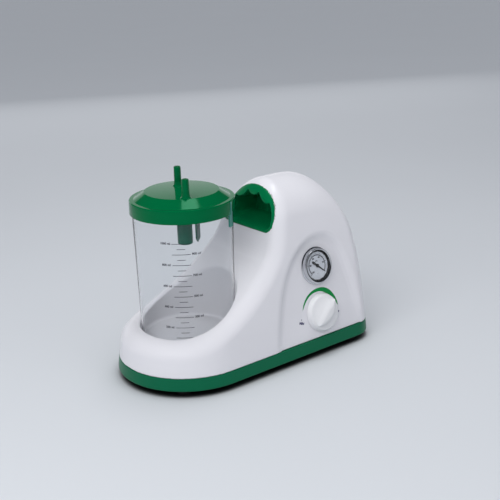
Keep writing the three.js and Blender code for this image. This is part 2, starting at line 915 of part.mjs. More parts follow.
function buildLid(parent) {
  const ports = [vacuumPort, patientPort];
  const bores = ports.map(([x, y]) =>
    rod(portBore, discUnder - spigotLength - overrun, lidTop + lidRise + portRise + overrun).translate(x, y, 0));
  const tabAt = (lidRadius + jarTopRadius + lidPlay) / 2;
  const tabThickness = lidRadius - jarTopRadius - lidPlay - gap;
  const tab = box(tabThickness, tabWidth, tabDrop + gap)
    .translate(tabAt, 0, skirtFoot - tabDrop / 2 + gap)
    .rotateZ(tabTurn);
  const baffle = box(baffleDepth, baffleWall, baffleLength)
    .translate(0, 0, discUnder + gap - baffleLength / 2)
    .rotateZ(baffleTurn)
    .translate(baffleX, baffleY, 0);
  const lid = cut(join(lidShell(), ...ports.map(([x, y]) => hosePort(x, y)), tab, baffle), ...bores);
  add(parent, "jar_lid", lid, "green");
  const rim = [jarTopRadius - jarWall, jarTopRadius];
  const [low, high] = [jarTop + gap, jarTop + gap + gasketHeight];
  add(parent, "lid_gasket", revolve([[rim[0], low], [rim[1], low], [rim[1], high], [rim[0], high], [rim[0], low]]), "rubber");
}

function buildFloat(parent) {
  const [x, y] = vacuumPort;
  const top = discUnder - cageDrop;
  const foot = top - cageLength;
  const inside = cageRadius - cageWall;
  const profile = [
    [cageMouth, foot],
    [cageRadius, foot],
    [cageRadius, top],
    [inside, top],
    [inside, foot + cageWall],
    [cageMouth, foot + cageWall],
    [cageMouth, foot],
  ];
  const window = [2 * cageRadius + overrun, cageWindow];
  const windowMiddle = foot + ballRadius + cageWindowHeight;
  const cage = cut(
    revolve(profile, smallSides),
    box(window[0], window[1], cageWindowHeight).translate(0, 0, windowMiddle),
    box(window[1], window[0], cageWindowHeight).translate(0, 0, windowMiddle),
  );
  const place = group(parent, x, y, 0);
  add(place, "float_cage", cage, "green");
  const ball = new THREE.SphereGeometry(ballRadius, smallSides, smallSides / 2);
  add(place, "float_ball", ball.translate(0, 0, foot + cageWall + gap + ballRadius), "white");
}

// Control panel: gauge, knob and regulator, each in the panel's frame

function ring(inner, outer, from, to, sides = smallSides) {
  return revolve([[inner, from], [outer, from], [outer, to], [inner, to], [inner, from]], sides);
}

function barb(x, y, z) {
  return rod(barbRadius, -gap, barbLength, tubeSides).translate(x, y, z);
}

function buildGauge(panel) {
  const gauge = group(panel, gaugeX, gaugeUp, 0);
  const opening = bezelRadius - bezelWidth;
  const lipFoot = bezelHeight - bezelLip;
  const bezel = [
    [gaugeCaseRadius + gap, gap],
    [bezelRadius, gap],
    [bezelRadius, bezelHeight - bezelRound],
    [bezelRadius - bezelRound, bezelHeight],
    [opening, bezelHeight],
    [opening, lipFoot],
    [gaugeCaseRadius + gap, lipFoot],
    [gaugeCaseRadius + gap, gap],
  ];
  add(gauge, "gauge_bezel", revolve(bezel), "chrome");
  const lensFoot = lipFoot - gap - lensThickness;
  add(gauge, "gauge_lens", rod(gaugeCaseRadius, lensFoot, lensFoot + lensThickness, roundSides), "clear");
  const rim = lensFoot - gap;
  const inside = gaugeCaseRadius - gaugeCaseWall;
  const caseProfile = [
    [0, -gaugeCaseDepth - gaugeStemLength],
    [barbRadius, -gaugeCaseDepth - gaugeStemLength],
    [barbRadius, -gaugeCaseDepth],
    [gaugeCaseRadius, -gaugeCaseDepth],
    [gaugeCaseRadius, rim],
    [inside, rim],
    [inside, gaugeCaseWall - gaugeCaseDepth],
    [0, gaugeCaseWall - gaugeCaseDepth],
  ];
  add(gauge, "gauge_case", revolve(caseProfile, roundSides / 2), "black");
  const dialTop = rim - dialDrop + dialThickness;
  const dial = ring(needlePin + gap, inside - 2 * gap, dialTop - dialThickness, dialTop, roundSides / 2);
  add(gauge, "gauge_dial", dial, "dial");
  buildNeedle(group(gauge, 0, 0, dialTop));
  const movementTop = dialTop - dialThickness - gap;
  const movement = join(
    ring(needlePin + gap, inside / 2, movementTop - gaugeStemLength, movementTop),
    box(gaugeCaseWall, inside, gaugeStemLength).translate(inside / 2, 0, movementTop - gaugeStemLength / 2),
  );
  add(gauge, "gauge_movement", movement, "brass");
}

function buildNeedle(place) {
  const arm = new THREE.Shape();
  arm.moveTo(-needleTail, -needleWidth / 2);
  arm.lineTo(0, -needleWidth / 2);
  arm.lineTo(needleReach, -needleWidth / 6);
  arm.lineTo(needleReach, needleWidth / 6);
  arm.lineTo(0, needleWidth / 2);
  arm.lineTo(-needleTail, needleWidth / 2);
  const hub = rod(needleHub, gap, 2 * needleThickness, tubeSides);
  const pin = rod(needlePin, -gaugeStemLength, needleThickness, tubeSides);
  const needle = join(extrude(arm, gap, gap + needleThickness), hub, pin);
  add(place, "gauge_needle", needle, "black").rotation.z = needleRest;
}

// A pointed oval between two arcs, anticlockwise.
function leafRing(length, width, z) {
  const [x, y] = [length / 2, width / 2];
  const radius = (x * x + y * y) / (2 * y);
  const spread = Math.asin(x / radius);
  const points = [];
  for (const side of [-1, 1]) {
    for (let i = 0; i < curveSteps; i++) {
      const turn = -spread + (2 * spread * i) / curveSteps;
      const reach = side * (radius * Math.cos(turn) - radius + y);
      points.push(new THREE.Vector3(-side * radius * Math.sin(turn), reach, z));
    }
  }
  return points;
}

function buildKnob(panel) {
  const place = group(panel, knobX, knobUp, gap);
  place.rotation.z = knobTurn;
  const crest = knobSkirt + knobGripRise;
  const round = [
    [0, 0],
    [knobRadius, 0],
    [knobRadius - knobDraft / 3, knobSkirt - knobRound],
    [knobRadius - knobDraft, knobSkirt - knobRound / 3],
    [knobRadius - knobDraft - knobRound, knobSkirt],
    [0, knobSkirt],
  ];
  const grip = loft([
    leafRing(knobGripLength, knobGripWidth, knobSkirt - gap),
    leafRing(knobGripLength - knobRound, (knobGripWidth + knobCrestWidth) / 2, knobSkirt + knobGripRise / 3),
    leafRing(knobGripLength - 2 * knobRound, knobCrestWidth, crest - knobRound),
    leafRing(knobGripLength - 4 * knobRound, knobCrestWidth / 2, crest),
  ]);
  const knob = cut(
    join(revolve(round), grip),
    rod(knobHollow, -overrun, knobHollowDepth),
    rod(spindleRadius + gap, -overrun, spindleSeat),
  );
  add(place, "regulator_knob", knob, "white");
  const spindle = rod(spindleRadius, -wall - valveLength / 2, spindleSeat - gap);
  add(place, "regulator_spindle", spindle, "steel");
}

function buildRegulator(panel) {
  const place = group(panel, knobX, knobUp, 0);
  const shoulder = -wall - gap;
  const foot = shoulder - valveLength;
  const middle = (shoulder + foot) / 2;
  const body = cut(
    join(
      rod(valveRadius, foot, shoulder),
      rod(bushRadius, shoulder - gap, nutHeight + gap),
      barb(0, 0, valveRadius - gap).rotateY(Math.PI / 2).translate(0, 0, middle),
      barb(0, 0, valveRadius - gap).rotateY(-Math.PI / 2).translate(0, 0, middle),
      rod(barbRadius, -barbLength, gap, tubeSides).translate(0, 0, foot),
    ),
    rod(spindleRadius + gap, foot + valveLength / 2 - 2 * gap - wall, overrun),
  );
  add(place, "regulator_valve", body, "brass");
  const nut = cut(
    rod(nutRadius, gap, nutHeight, nutSides),
    rod(bushRadius + gap, -overrun, overrun),
  );
  add(place, "regulator_nut", nut, "steel");
}

// Rear panel: power inlet, fuse and switch

function buildInlet(rear) {
  const place = group(rear, inletY, rearPanelUp, 0);
  const flangeSize = [inletWidth + 2 * inletRim, inletHeight + 2 * inletRim];
  const flange = extrude(roundedRectangle(...flangeSize, inletRim), gap, inletFlange, cornerFacets);
  const body = join(flange, box(inletWidth, inletHeight, inletDepth).translate(0, 0, gap * 2 - inletDepth / 2));
  const cavity = box(inletWidth - 2 * inletWall, inletHeight - 2 * inletWall, inletDepth);
  const floor = inletWall * 2 - inletDepth;
  const shell = cut(body, cavity.translate(0, 0, floor + inletDepth / 2));
  const pins = [[-pinPitch, -pinThickness / 2], [0, pinThickness], [pinPitch, -pinThickness / 2]].map(([x, y]) =>
    box(pinThickness, pinWidth, pinLength).translate(x, y, floor + pinLength / 2 - 2 * inletWall));
  add(place, "power_inlet", join(shell, ...pins), "black");
}

function buildFuse(rear) {
  const place = group(rear, fuseY, rearPanelUp, 0);
  const holder = cut(
    join(rod(fuseFlange, gap, fuseFlangeHeight), rod(fuseRadius, -fuseDepth, gap * 2)),
    rod(fuseBore, inletWall - fuseDepth, overrun),
  );
  add(place, "fuse_holder", holder, "black");
  const capFoot = fuseFlangeHeight + gap;
  const cap = cut(
    join(
      rod(fuseCapRadius, capFoot, capFoot + fuseCapHeight),
      rod(fuseBore - gap, capFoot - fuseDepth / 3, capFoot + gap, tubeSides),
    ),
    box(fuseCapRadius, inletWall / 2, inletWall).translate(0, 0, capFoot + fuseCapHeight),
  );
  add(place, "fuse_cap", cap, "black");
}

function buildSwitch(rear) {
  const place = group(rear, switchY, rearPanelUp, 0);
  const flangeSize = [switchWidth + 2 * switchRim, switchHeight + 2 * switchRim];
  const wellDepth = rockerSink + rockerRadius + gap + overrun;
  const frame = cut(
    join(
      extrude(roundedRectangle(...flangeSize, switchRim), gap, switchFlange, cornerFacets),
      box(switchWidth, switchHeight, switchDepth).translate(0, 0, gap * 2 - switchDepth / 2),
    ),
    box(rockerWidth + 2 * gap, 2 * (rockerRadius + gap), wellDepth).translate(0, 0, overrun - wellDepth / 2),
  );
  add(place, "switch_frame", frame, "black");
  const pivot = group(place, 0, 0, -rockerSink);
  const tip = rockerSink + rockerProud;
  const side = new THREE.Shape();
  const edge = Math.sqrt(rockerRadius ** 2 - tip ** 2);
  const dip = tip - edge * Math.tan(rockerTilt);
  const start = Math.atan2(tip, edge);
  side.moveTo(edge, tip);
  side.lineTo(0, dip);
  side.lineTo(-edge, tip);
  side.absarc(0, 0, rockerRadius, Math.PI - start, 2 * Math.PI + start, false);
  const rocker = extrude(side, -rockerWidth / 2, rockerWidth / 2, curveSteps / 2);
  rocker.rotateX(Math.PI / 2).rotateZ(Math.PI / 2);
  add(pivot, "switch_rocker", rocker, "black").rotation.x = rockerTilt;
}

function buildNozzle(nozzle) {
  const body = cut(
    join(
      rod(nozzleFlange, gap, nozzleFlangeHeight),
      rod(barbRadius + gap, gap, nozzleReach),
      rod(barbRadius, -nozzleStem, gap * 2),
    ),
    rod(barbBore, -nozzleStem - overrun, nozzleReach + overrun, tubeSides),
  );
  add(nozzle, "vacuum_nozzle", body, "green");
}

// Pump, with the shaft along local X

const turned = (profile, sides) => revolve(profile, sides).rotateY(Math.PI / 2);

function buildMotor(pump) {
  const stackFrom = 0;
  const stackTo = stackLength;
  const square = roundedRectangle(stackSide, stackSide, stackCorner);
  const hole = new THREE.Path();
  hole.absarc(0, 0, stackBore, 0, 2 * Math.PI, true);
  square.holes.push(hole);
  add(pump, "stator_stack", extrude(square, stackFrom, stackTo, curveSteps / 2).rotateY(Math.PI / 2), "steel");
  for (const [name, side] of [["front", -1], ["rear", 1]]) {
    const at = (distance) => (side < 0 ? stackFrom - gap - distance : stackTo + gap + distance);
    const order = (profile) => (side < 0 ? profile.toReversed() : profile);
    const coil = [[stackBore + gap, at(0)], [windingRadius, at(0)], [windingRadius, at(windingLength)]];
    coil.push([stackBore + gap, at(windingLength)], [stackBore + gap, at(0)]);
    add(pump, "winding_" + name, turned(order(coil), smallSides), "copper");
    const bossFoot = bellLength - bearingWidth - gap;
    const cup = [
      [bellRadius, at(0)],
      [bellRadius, at(bellLength)],
      [shaftRadius + gap, at(bellLength)],
      [shaftRadius + gap, at(bellLength - gap)],
      [bearingRadius + gap, at(bellLength - gap)],
      [bearingRadius + gap, at(bossFoot)],
      [bellBoss, at(bossFoot)],
      [bellBoss, at(bellLength - bellWall)],
      [bellRadius - bellWall, at(bellLength - bellWall)],
      [bellRadius - bellWall, at(0)],
      [bellRadius, at(0)],
    ];
    add(pump, "end_bell_" + name, turned(order(cup), smallSides), "alloy");
    const bearing = [bossFoot, bossFoot + bearingWidth].map(at).sort((a, b) => a - b);
    add(pump, "bearing_" + name, ring(shaftRadius + gap, bearingRadius, ...bearing).rotateY(Math.PI / 2), "steel");
  }
  const rotor = ring(shaftRadius + gap, rotorRadius, stackFrom, stackTo).rotateY(Math.PI / 2);
  add(pump, "rotor_core", rotor, "steel");
}

function buildShaft(pump) {
  const front = -gap - bellLength - fanSpace - fanWidth;
  const crankFrom = stackLength + bellLength + 2 * gap + (crankcaseLength - crankWidth) / 2;
  const end = crankFrom + crankWidth + gap;
  add(pump, "motor_shaft", rod(shaftRadius, front, end).rotateY(Math.PI / 2), "steel");
  const blades = [];
  for (let i = 0; i < fanBlades; i++) {
    const blade = box(fanWidth, fanBlade, fanRadius - fanHub + gap);
    blade.translate(0, 0, (fanRadius + fanHub) / 2);
    blades.push(blade.rotateX((2 * Math.PI * i) / fanBlades).translate(front + fanWidth / 2, 0, 0));
  }
  const hub = ring(shaftRadius + gap, fanHub + gap, front, front + fanWidth).rotateY(Math.PI / 2);
  add(pump, "cooling_fan", join(hub, ...blades), "black");
  const disc = rod(crankRadius, crankFrom, crankFrom + crankWidth).rotateY(Math.PI / 2).translate(0, 0, -crankThrow);
  const bore = rod(shaftRadius + gap, front, end + overrun).rotateY(Math.PI / 2);
  add(pump, "crank_eccentric", cut(disc, bore), "steel");
  return crankFrom + crankWidth / 2;
}

function buildCrank(pump, crankX) {
  const half = crankcaseSide / 2;
  const boreRadius = pistonRadius + gap;
  const frame = cut(
    box(crankcaseLength, crankcaseSide, crankcaseSide),
    box(crankcaseLength - 2 * crankcaseWall, crankcaseSide + overrun, crankcaseSide - 2 * crankcaseWall),
    rod(bearingRadius, -crankcaseLength, 0).rotateY(Math.PI / 2),
    rod(boreRadius, 0, crankcaseSide, roundSides / 2),
  );
  const place = group(pump, crankX, 0, 0);
  add(place, "crankcase", frame, "alloy");
  const rodBore = crankRadius + 2 * crankThrow + 2 * gap;
  const ringOuter = rodBore + rodRing;
  const pistonFoot = half + cylinderHeight / 2 - pistonHeight / 2;
  const neck = box(crankWidth, rodNeck, pistonFoot - rodBore - rodRing / 2);
  const bigEnd = ring(rodBore, ringOuter, -crankWidth / 2, crankWidth / 2, smallSides).rotateY(Math.PI / 2);
  neck.translate(0, 0, (pistonFoot - gap + rodBore + rodRing / 2) / 2);
  add(place, "connecting_rod", join(bigEnd, neck), "alloy");
  add(place, "piston", rod(pistonRadius, pistonFoot, pistonFoot + pistonHeight, roundSides / 2), "black");
  const sleeveFoot = half + gap;
  const sleeve = ring(boreRadius, boreRadius + cylinderWall, sleeveFoot, sleeveFoot + cylinderHeight, roundSides / 2);
  add(place, "pump_cylinder", sleeve, "steel");
  const headFoot = sleeveFoot + cylinderHeight + gap;
  const ports = [-1, 1].map((side) => barb(0, side * headPortOffset, headFoot + headHeight));
  const block = extrude(roundedRectangle(headSide - crankcaseWall * 3, headSide, headCorner), headFoot, headFoot + headHeight, cornerFacets);
  add(place, "pump_head", join(block, ...ports), "alloy");
  return headFoot + headHeight + barbLength;
}

function buildFrame(pump, crankX) {
  const top = -stackSide / 2 - gap;
  const foot = top - framePlate;
  const from = -bellLength;
  const to = crankX + crankcaseLength / 2;
  const length = to - from;
  const middle = (from + to) / 2;
  const padHeight = (stackSide - crankcaseSide) / 2 + gap;
  const plate = join(
    box(length, frameWidth, framePlate).translate(middle, 0, (top + foot) / 2),
    box(crankcaseLength, crankcaseSide, padHeight).translate(crankX, 0, top + padHeight / 2 - gap),
  );
  add(pump, "pump_frame", plate, "steel");
  const deck = trayDeck - pumpZ + gap;
  const places = [["front_near", -1, -1], ["front_far", -1, 1], ["rear_near", 1, -1], ["rear_far", 1, 1]];
  for (const [name, x, y] of places) {
    const mount = rod(mountRadius, deck, foot - gap, tubeSides);
    mount.translate(middle + x * (length / 2 - mountInset), y * (frameWidth / 2 - mountInset), 0);
    add(pump, "pump_mount_" + name, mount, "rubber");
  }
}

// Muffler, capacitor and terminal block on the tray

function buildTrayFittings(parent) {
  const deck = trayDeck + gap;
  const muffler = join(
    rod(mufflerRadius, -mufflerLength / 2, mufflerLength / 2).rotateY(Math.PI / 2),
    rod(barbRadius, mufflerLength / 2 - gap, mufflerLength / 2 + barbLength, tubeSides).rotateY(Math.PI / 2),
  );
  add(group(parent, mufflerX, mufflerY, deck + mufflerRadius), "exhaust_muffler", muffler, "alloy");
  const can = extrude(roundedRectangle(capacitorWidth, capacitorLength, capacitorCorner), 0, capacitorHeight, cornerFacets);
  add(group(parent, capacitorX, capacitorY, deck), "run_capacitor", can, "white");
  const block = box(terminalWidth, terminalLength, terminalHeight).translate(0, 0, terminalHeight / 2);
  add(group(parent, terminalX, terminalY, deck), "terminal_block", block, "white");
}

// Hoses from barb to barb, in the body's frame

// Points that leave a barb along its own axis: where the hose's end sits, and how far it runs straight.
function lead(frame, place, out) {
  const at = (distance) => frame.localToWorld(new THREE.Vector3(...place).addScaledVector(new THREE.Vector3(...out), distance));
  return [at(gap), at(2 * hoseRadius)];
}

function buildHoses(parent, frames, pump, crankX, portTop) {
  parent.updateMatrixWorld(true);
  const { panel, nozzle } = frames;
  const middle = -wall - gap - valveLength / 2;
  const reach = valveRadius - gap + barbLength;
  const right = lead(panel, [knobX + reach, knobUp, middle], [1, 0, 0]);
  const left = lead(panel, [knobX - reach, knobUp, middle], [-1, 0, 0]);
  const back = lead(panel, [knobX, knobUp, middle - valveLength / 2 - barbLength], [0, 0, -1]);
  const stem = lead(panel, [gaugeX, gaugeUp, -gaugeCaseDepth - gaugeStemLength], [0, 0, -1]);
  const outlet = lead(nozzle, [0, 0, -nozzleStem], [0, 0, -1]);
  const intake = lead(pump, [crankX, -headPortOffset, portTop], [0, 0, 1]);
  const exhaust = lead(pump, [crankX, headPortOffset, portTop], [0, 0, 1]);
  const tip = mufflerX + mufflerLength / 2 + barbLength;
  const silencer = lead(parent, [tip, mufflerY, trayDeck + gap + mufflerRadius], [1, 0, 0]);
  const runs = {
    suction_hose: [right, hoseRoutes.suction, intake],
    gauge_hose: [stem, hoseRoutes.gauge, back],
    nozzle_hose: [left, hoseRoutes.nozzle, outlet],
    exhaust_hose: [silencer, hoseRoutes.exhaust, exhaust],
  };
  for (const [name, [from, route, to]] of Object.entries(runs)) {
    const between = route.map((point) => new THREE.Vector3(...point));
    add(parent, name, hose([...from, ...between, ...to.toReversed()]), "hose");
  }
}

function centred(part) {
  part.updateMatrixWorld(true);
  const middle = new THREE.Box3().setFromObject(part, true).getCenter(new THREE.Vector3());
  part.position.set(-middle.x, -middle.y, 0);
  return part;
}

function buildUnit() {
  const unit = new THREE.Group();
  const body = group(unit, 0, 0, 0);
  const frames = {
    panel: leaningFrame(body, [0, wallInset(housingFoot) + panelRecess - endRadius, housingFoot], [0, -1], panelAngle),
    rear: leaningFrame(body, [rearReach - rearPanelDepth, 0, housingFoot], [1, 0], Math.atan(rearPanelLean)),
    nozzle: leaningFrame(body, [nozzleX, endRadius - wallInset(nozzleZ), nozzleZ], [0, 1], panelAngle),
  };
  buildTray(body, frames.panel);
  buildFeet(body);
  buildHousing(body, frames);
  buildPocket(body);
  buildJar(body);
  buildLid(body);
  buildFloat(body);
  buildGauge(frames.panel);
  buildKnob(frames.panel);
  buildRegulator(frames.panel);
  buildInlet(frames.rear);
  buildFuse(frames.rear);
  buildSwitch(frames.rear);
  buildNozzle(frames.nozzle);
  const pump = group(body, pumpX, pumpY, pumpZ);
  buildMotor(pump);
  const crankX = buildShaft(pump);
  const portTop = buildCrank(pump, crankX);
  buildFrame(pump, crankX);
  buildTrayFittings(body);
  buildHoses(body, frames, pump, crankX, portTop);
  centred(body);
  return unit;
}

export default buildUnit();
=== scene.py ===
"""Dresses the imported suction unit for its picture: moulded skins, clear jar, gauge, knob, prints."""

from __future__ import annotations

import json
import logging
import math
from collections.abc import Callable, Iterable, Iterator, Sequence
from dataclasses import dataclass, field
from enum import Enum

import bpy
import numpy as np
from mathutils import Matrix, Vector


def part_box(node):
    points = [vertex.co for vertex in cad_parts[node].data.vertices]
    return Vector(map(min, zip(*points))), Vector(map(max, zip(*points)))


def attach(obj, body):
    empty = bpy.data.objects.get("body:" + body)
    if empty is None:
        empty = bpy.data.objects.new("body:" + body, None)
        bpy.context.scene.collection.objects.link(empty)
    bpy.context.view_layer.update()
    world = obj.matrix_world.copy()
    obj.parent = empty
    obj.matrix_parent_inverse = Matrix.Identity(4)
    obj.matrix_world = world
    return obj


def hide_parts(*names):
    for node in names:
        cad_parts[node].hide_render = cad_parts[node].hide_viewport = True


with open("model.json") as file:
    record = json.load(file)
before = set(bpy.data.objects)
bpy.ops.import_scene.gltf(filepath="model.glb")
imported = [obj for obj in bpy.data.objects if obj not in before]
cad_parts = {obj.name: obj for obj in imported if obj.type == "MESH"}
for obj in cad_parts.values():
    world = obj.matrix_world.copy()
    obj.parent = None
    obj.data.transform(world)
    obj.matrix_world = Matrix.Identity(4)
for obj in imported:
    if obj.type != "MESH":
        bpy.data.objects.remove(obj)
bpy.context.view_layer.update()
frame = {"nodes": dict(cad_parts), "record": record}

LOG = logging.getLogger("suction_unit")
MM = 0.001
TINY = 1e-12
LEAST_SLOPE = 0.05
Array = np.ndarray
Field = Callable[[Array, Array, Array], Array]
Profile = Sequence[tuple[float, float]]
Mesh = tuple[Array, Sequence[Sequence[int]]]
Skin = tuple[Array, Array, Array]
Tree = bpy.types.NodeTree
Node = bpy.types.Node
Socket = bpy.types.NodeSocket


class Body(Enum):
    """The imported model's moving bodies that pieces ride on."""

    HOUSING = "housing"
    JAR = "jar"
    LID = "lid"
    FLOAT = "float"
    KNOB = "knob"
    NEEDLE = "needle"
    ROCKER = "rocker"
    FUSE = "fuse"


class Slot(Enum):
    """The record's material slots."""

    WHITE = "white_plastic"
    GREEN = "green_plastic"
    CLEAR = "clear_plastic"
    RUBBER = "rubber"
    BLACK = "black_plastic"
    CHROME = "chrome"
    STEEL = "steel"
    BRASS = "brass"
    COPPER = "copper_wire"
    ALLOY = "cast_alloy"
    DIAL = "dial_face"
    FITTING = "fitting_white"
    HOSE = "hose_silicone"


# Colours and materials


def linear(code: str) -> tuple[float, float, float, float]:
    """Turns an sRGB hex colour into the linear one that shaders take.

    Args:
        code: six hex digits, with or without the leading sign.

    Returns:
        Red, green, blue and an alpha of 1.
    """
    digits = code.lstrip("#")
    values = [int(digits[i : i + 2], 16) / 255 for i in (0, 2, 4)]
    red, green, blue = (v / 12.92 if v <= 0.04045 else ((v + 0.055) / 1.055) ** 2.4 for v in values)
    return (red, green, blue, 1.0)


def add_node(
    tree: Tree,
    kind: str,
    settings: dict[str, object] | None = None,
    sockets: dict[str, object] | None = None,
) -> Node:
    """Adds a node with its settings, and its sockets' values or the outputs linked to them.

    Args:
        tree: the node tree it goes in.
        kind: the node's type.
        settings: the node's own properties.
        sockets: for each input, by name or number, a value or another node's output.

    Returns:
        The new node.
    """
    node = tree.nodes.new(kind)
    for name, value in (settings or {}).items():
        setattr(node, name, value)
    for name, value in (sockets or {}).items():
        if isinstance(value, Socket):
            tree.links.new(value, node.inputs[name])
        else:
            node.inputs[name].default_value = value
    return node


def set_stops(ramp: Node, low: tuple[float, str], high: tuple[float, str]) -> None:
    """Sets both stops of a colour ramp, each a position and a hex colour."""
    for stop, (position, colour) in zip(ramp.color_ramp.elements, (low, high)):
        stop.position = position
        stop.color = linear(colour)


@dataclass(frozen=True)
class Finish:
    """A surface as made, on one shader: subclasses add what its making leaves on it."""

    name: str
    colour: str
    roughness: float
    ior: float = 1.5
    metallic: float = 0.0
    gloss_tint: str = "#FFFFFF"

    def make(self) -> bpy.types.Material:
        """Builds the material once.

        Returns:
            The one material of every piece of this finish.
        """
        known = bpy.data.materials.get(self.name)
        if known:
            return known
        material = bpy.data.materials.new(self.name)
        material.use_nodes = True
        material.diffuse_color = linear(self.colour)
        tree = material.node_tree
        shader = tree.nodes["Principled BSDF"]
        shader.inputs["Base Color"].default_value = linear(self.colour)
        shader.inputs["Roughness"].default_value = self.roughness
        shader.inputs["Metallic"].default_value = self.metallic
        if not self.metallic:
            shader.inputs["IOR"].default_value = self.ior
            shader.inputs["Specular Tint"].default_value = linear(self.gloss_tint)
        self.work(tree, shader)
        return material

    def work(self, tree: Tree, shader: Node) -> None:
        """Adds the surface's own detail to the shader."""

    def pattern(self, tree: Tree, size_mm: float, detail: float = 2.0) -> Socket:
        """Adds a noise.

        Args:
            tree: the material's nodes.
            size_mm: about how large its grains are.
            detail: how much finer noise it carries.

        Returns:
            Its factor.
        """
        place = add_node(tree, "ShaderNodeTexCoord")
        noise = add_node(
            tree,
            "ShaderNodeTexNoise",
            sockets={"Vector": place.outputs["Object"], "Scale": 1 / (size_mm * MM), "Detail": detail},
        )
        return noise.outputs["Fac"]

    def vary(self, tree: Tree, shader: Node, socket: str, factor: Socket, low: float, high: float) -> None:
        """Lets a socket drift with a pattern.

        Args:
            tree: the material's nodes.
            shader: its shader.
            socket: the input that drifts.
            factor: the pattern.
            low: the input's value where the pattern is low.
            high: its value where it is high.
        """
        span = add_node(
            tree,
            "ShaderNodeMapRange",
            sockets={"Value": factor, "From Min": 0.3, "From Max": 0.7, "To Min": low, "To Max": high},
        )
        tree.links.new(span.outputs["Result"], shader.inputs[socket])

    def raise_grain(self, tree: Tree, shader: Node, height: Socket, depth_mm: float, strength: float) -> None:
        """Adds a bump to the shader's normal.

        Args:
            tree: the material's nodes.
            shader: its shader.
            height: the pattern that is raised.
            depth_mm: how deep it really is.
            strength: how much of it the light sees.
        """
        bump = add_node(
            tree,
            "ShaderNodeBump",
            sockets={"Height": height, "Distance": depth_mm * MM, "Strength": strength},
        )
        tree.links.new(bump.outputs["Normal"], shader.inputs["Normal"])


@dataclass(frozen=True)
class MouldedPlastic(Finish):
    """Injection-moulded thermoplastic: a polished mould leaves gloss with a faint, wide ripple."""

    shade: str = ""
    ripple_mm: float = 9.0
    ripple_depth_mm: float = 0.012
    grain_mm: float = 60.0
    gloss_drift: float = 0.04

    def work(self, tree: Tree, shader: Node) -> None:
        """Adds slow colour drift, uneven gloss and the mould's ripple.

        Args:
            tree: the material's nodes.
            shader: its shader.
        """
        drift = self.pattern(tree, self.grain_mm)
        if self.shade:
            colours = {0: drift, 6: linear(self.colour), 7: linear(self.shade)}
            mix = add_node(tree, "ShaderNodeMix", {"data_type": "RGBA"}, colours)
            tree.links.new(mix.outputs[2], shader.inputs["Base Color"])
        low, high = self.roughness * (1 - self.gloss_drift), self.roughness * (1 + self.gloss_drift)
        self.vary(tree, shader, "Roughness", drift, low, high)
        ripple = self.pattern(tree, self.ripple_mm, 1.0)
        self.raise_grain(tree, shader, ripple, self.ripple_depth_mm, 0.4)


@dataclass(frozen=True)
class ClearPlastic(Finish):
    """Clear moulded plastic: it lets light through and shines at its edges."""

    wave_mm: float = 25.0
    wave_depth_mm: float = 0.03

    def work(self, tree: Tree, shader: Node) -> None:
        """Lets light through, with the faint waves that a mould leaves in clear walls.

        Args:
            tree: the material's nodes.
            shader: its shader.
        """
        shader.inputs["Transmission Weight"].default_value = 1.0
        waves = self.pattern(tree, self.wave_mm, 1.0)
        self.raise_grain(tree, shader, waves, self.wave_depth_mm, 0.25)


@dataclass(frozen=True)
class PlatedMetal(Finish):
    """Bright chromium plate on pressed brass: a mirror with the faintest haze of handling."""

    haze_mm: float = 6.0

    def work(self, tree: Tree, shader: Node) -> None:
        """Adds the handling haze to the roughness."""
        haze = self.pattern(tree, self.haze_mm, 3.0)
        self.vary(tree, shader, "Roughness", haze, self.roughness * 0.6, self.roughness * 1.6)


@dataclass(frozen=True)
class MachinedMetal(Finish):
    """Turned or pressed metal: fine tool lines, drawn coarse enough to show, break up its shine."""

    line_mm: float = 0.6
    line_depth_mm: float = 0.01

    def work(self, tree: Tree, shader: Node) -> None:
        """Adds tool lines to bump and gloss.

        Args:
            tree: the material's nodes.
            shader: its shader.
        """
        place = add_node(tree, "ShaderNodeTexCoord")
        scale = 0.3 / (self.line_mm * MM)
        sockets = {"Vector": place.outputs["Object"], "Scale": scale, "Distortion": 1.5, "Detail": 2.0}
        lines = add_node(tree, "ShaderNodeTexWave", {"wave_type": "RINGS"}, sockets)
        self.vary(tree, shader, "Roughness", lines.outputs["Fac"], self.roughness * 0.8, self.roughness * 1.3)
        self.raise_grain(tree, shader, lines.outputs["Fac"], self.line_depth_mm, 0.3)


@dataclass(frozen=True)
class GrainyMatter(Finish):
    """Cast metal, rubber or wound wire: a surface with small pits or strands all over."""

    grain_mm: float = 1.5
    depth_mm: float = 0.08
    shade: str = ""

    def work(self, tree: Tree, shader: Node) -> None:
        """Adds the pits to colour and bump.

        Args:
            tree: the material's nodes.
            shader: its shader.
        """
        pits = self.pattern(tree, self.grain_mm, 4.0)
        ramp = add_node(tree, "ShaderNodeValToRGB", sockets={"Fac": pits})
        set_stops(ramp, (0.35, self.shade or self.colour), (0.6, self.colour))
        tree.links.new(ramp.outputs["Color"], shader.inputs["Base Color"])
        self.raise_grain(tree, shader, pits, self.depth_mm, 0.5)


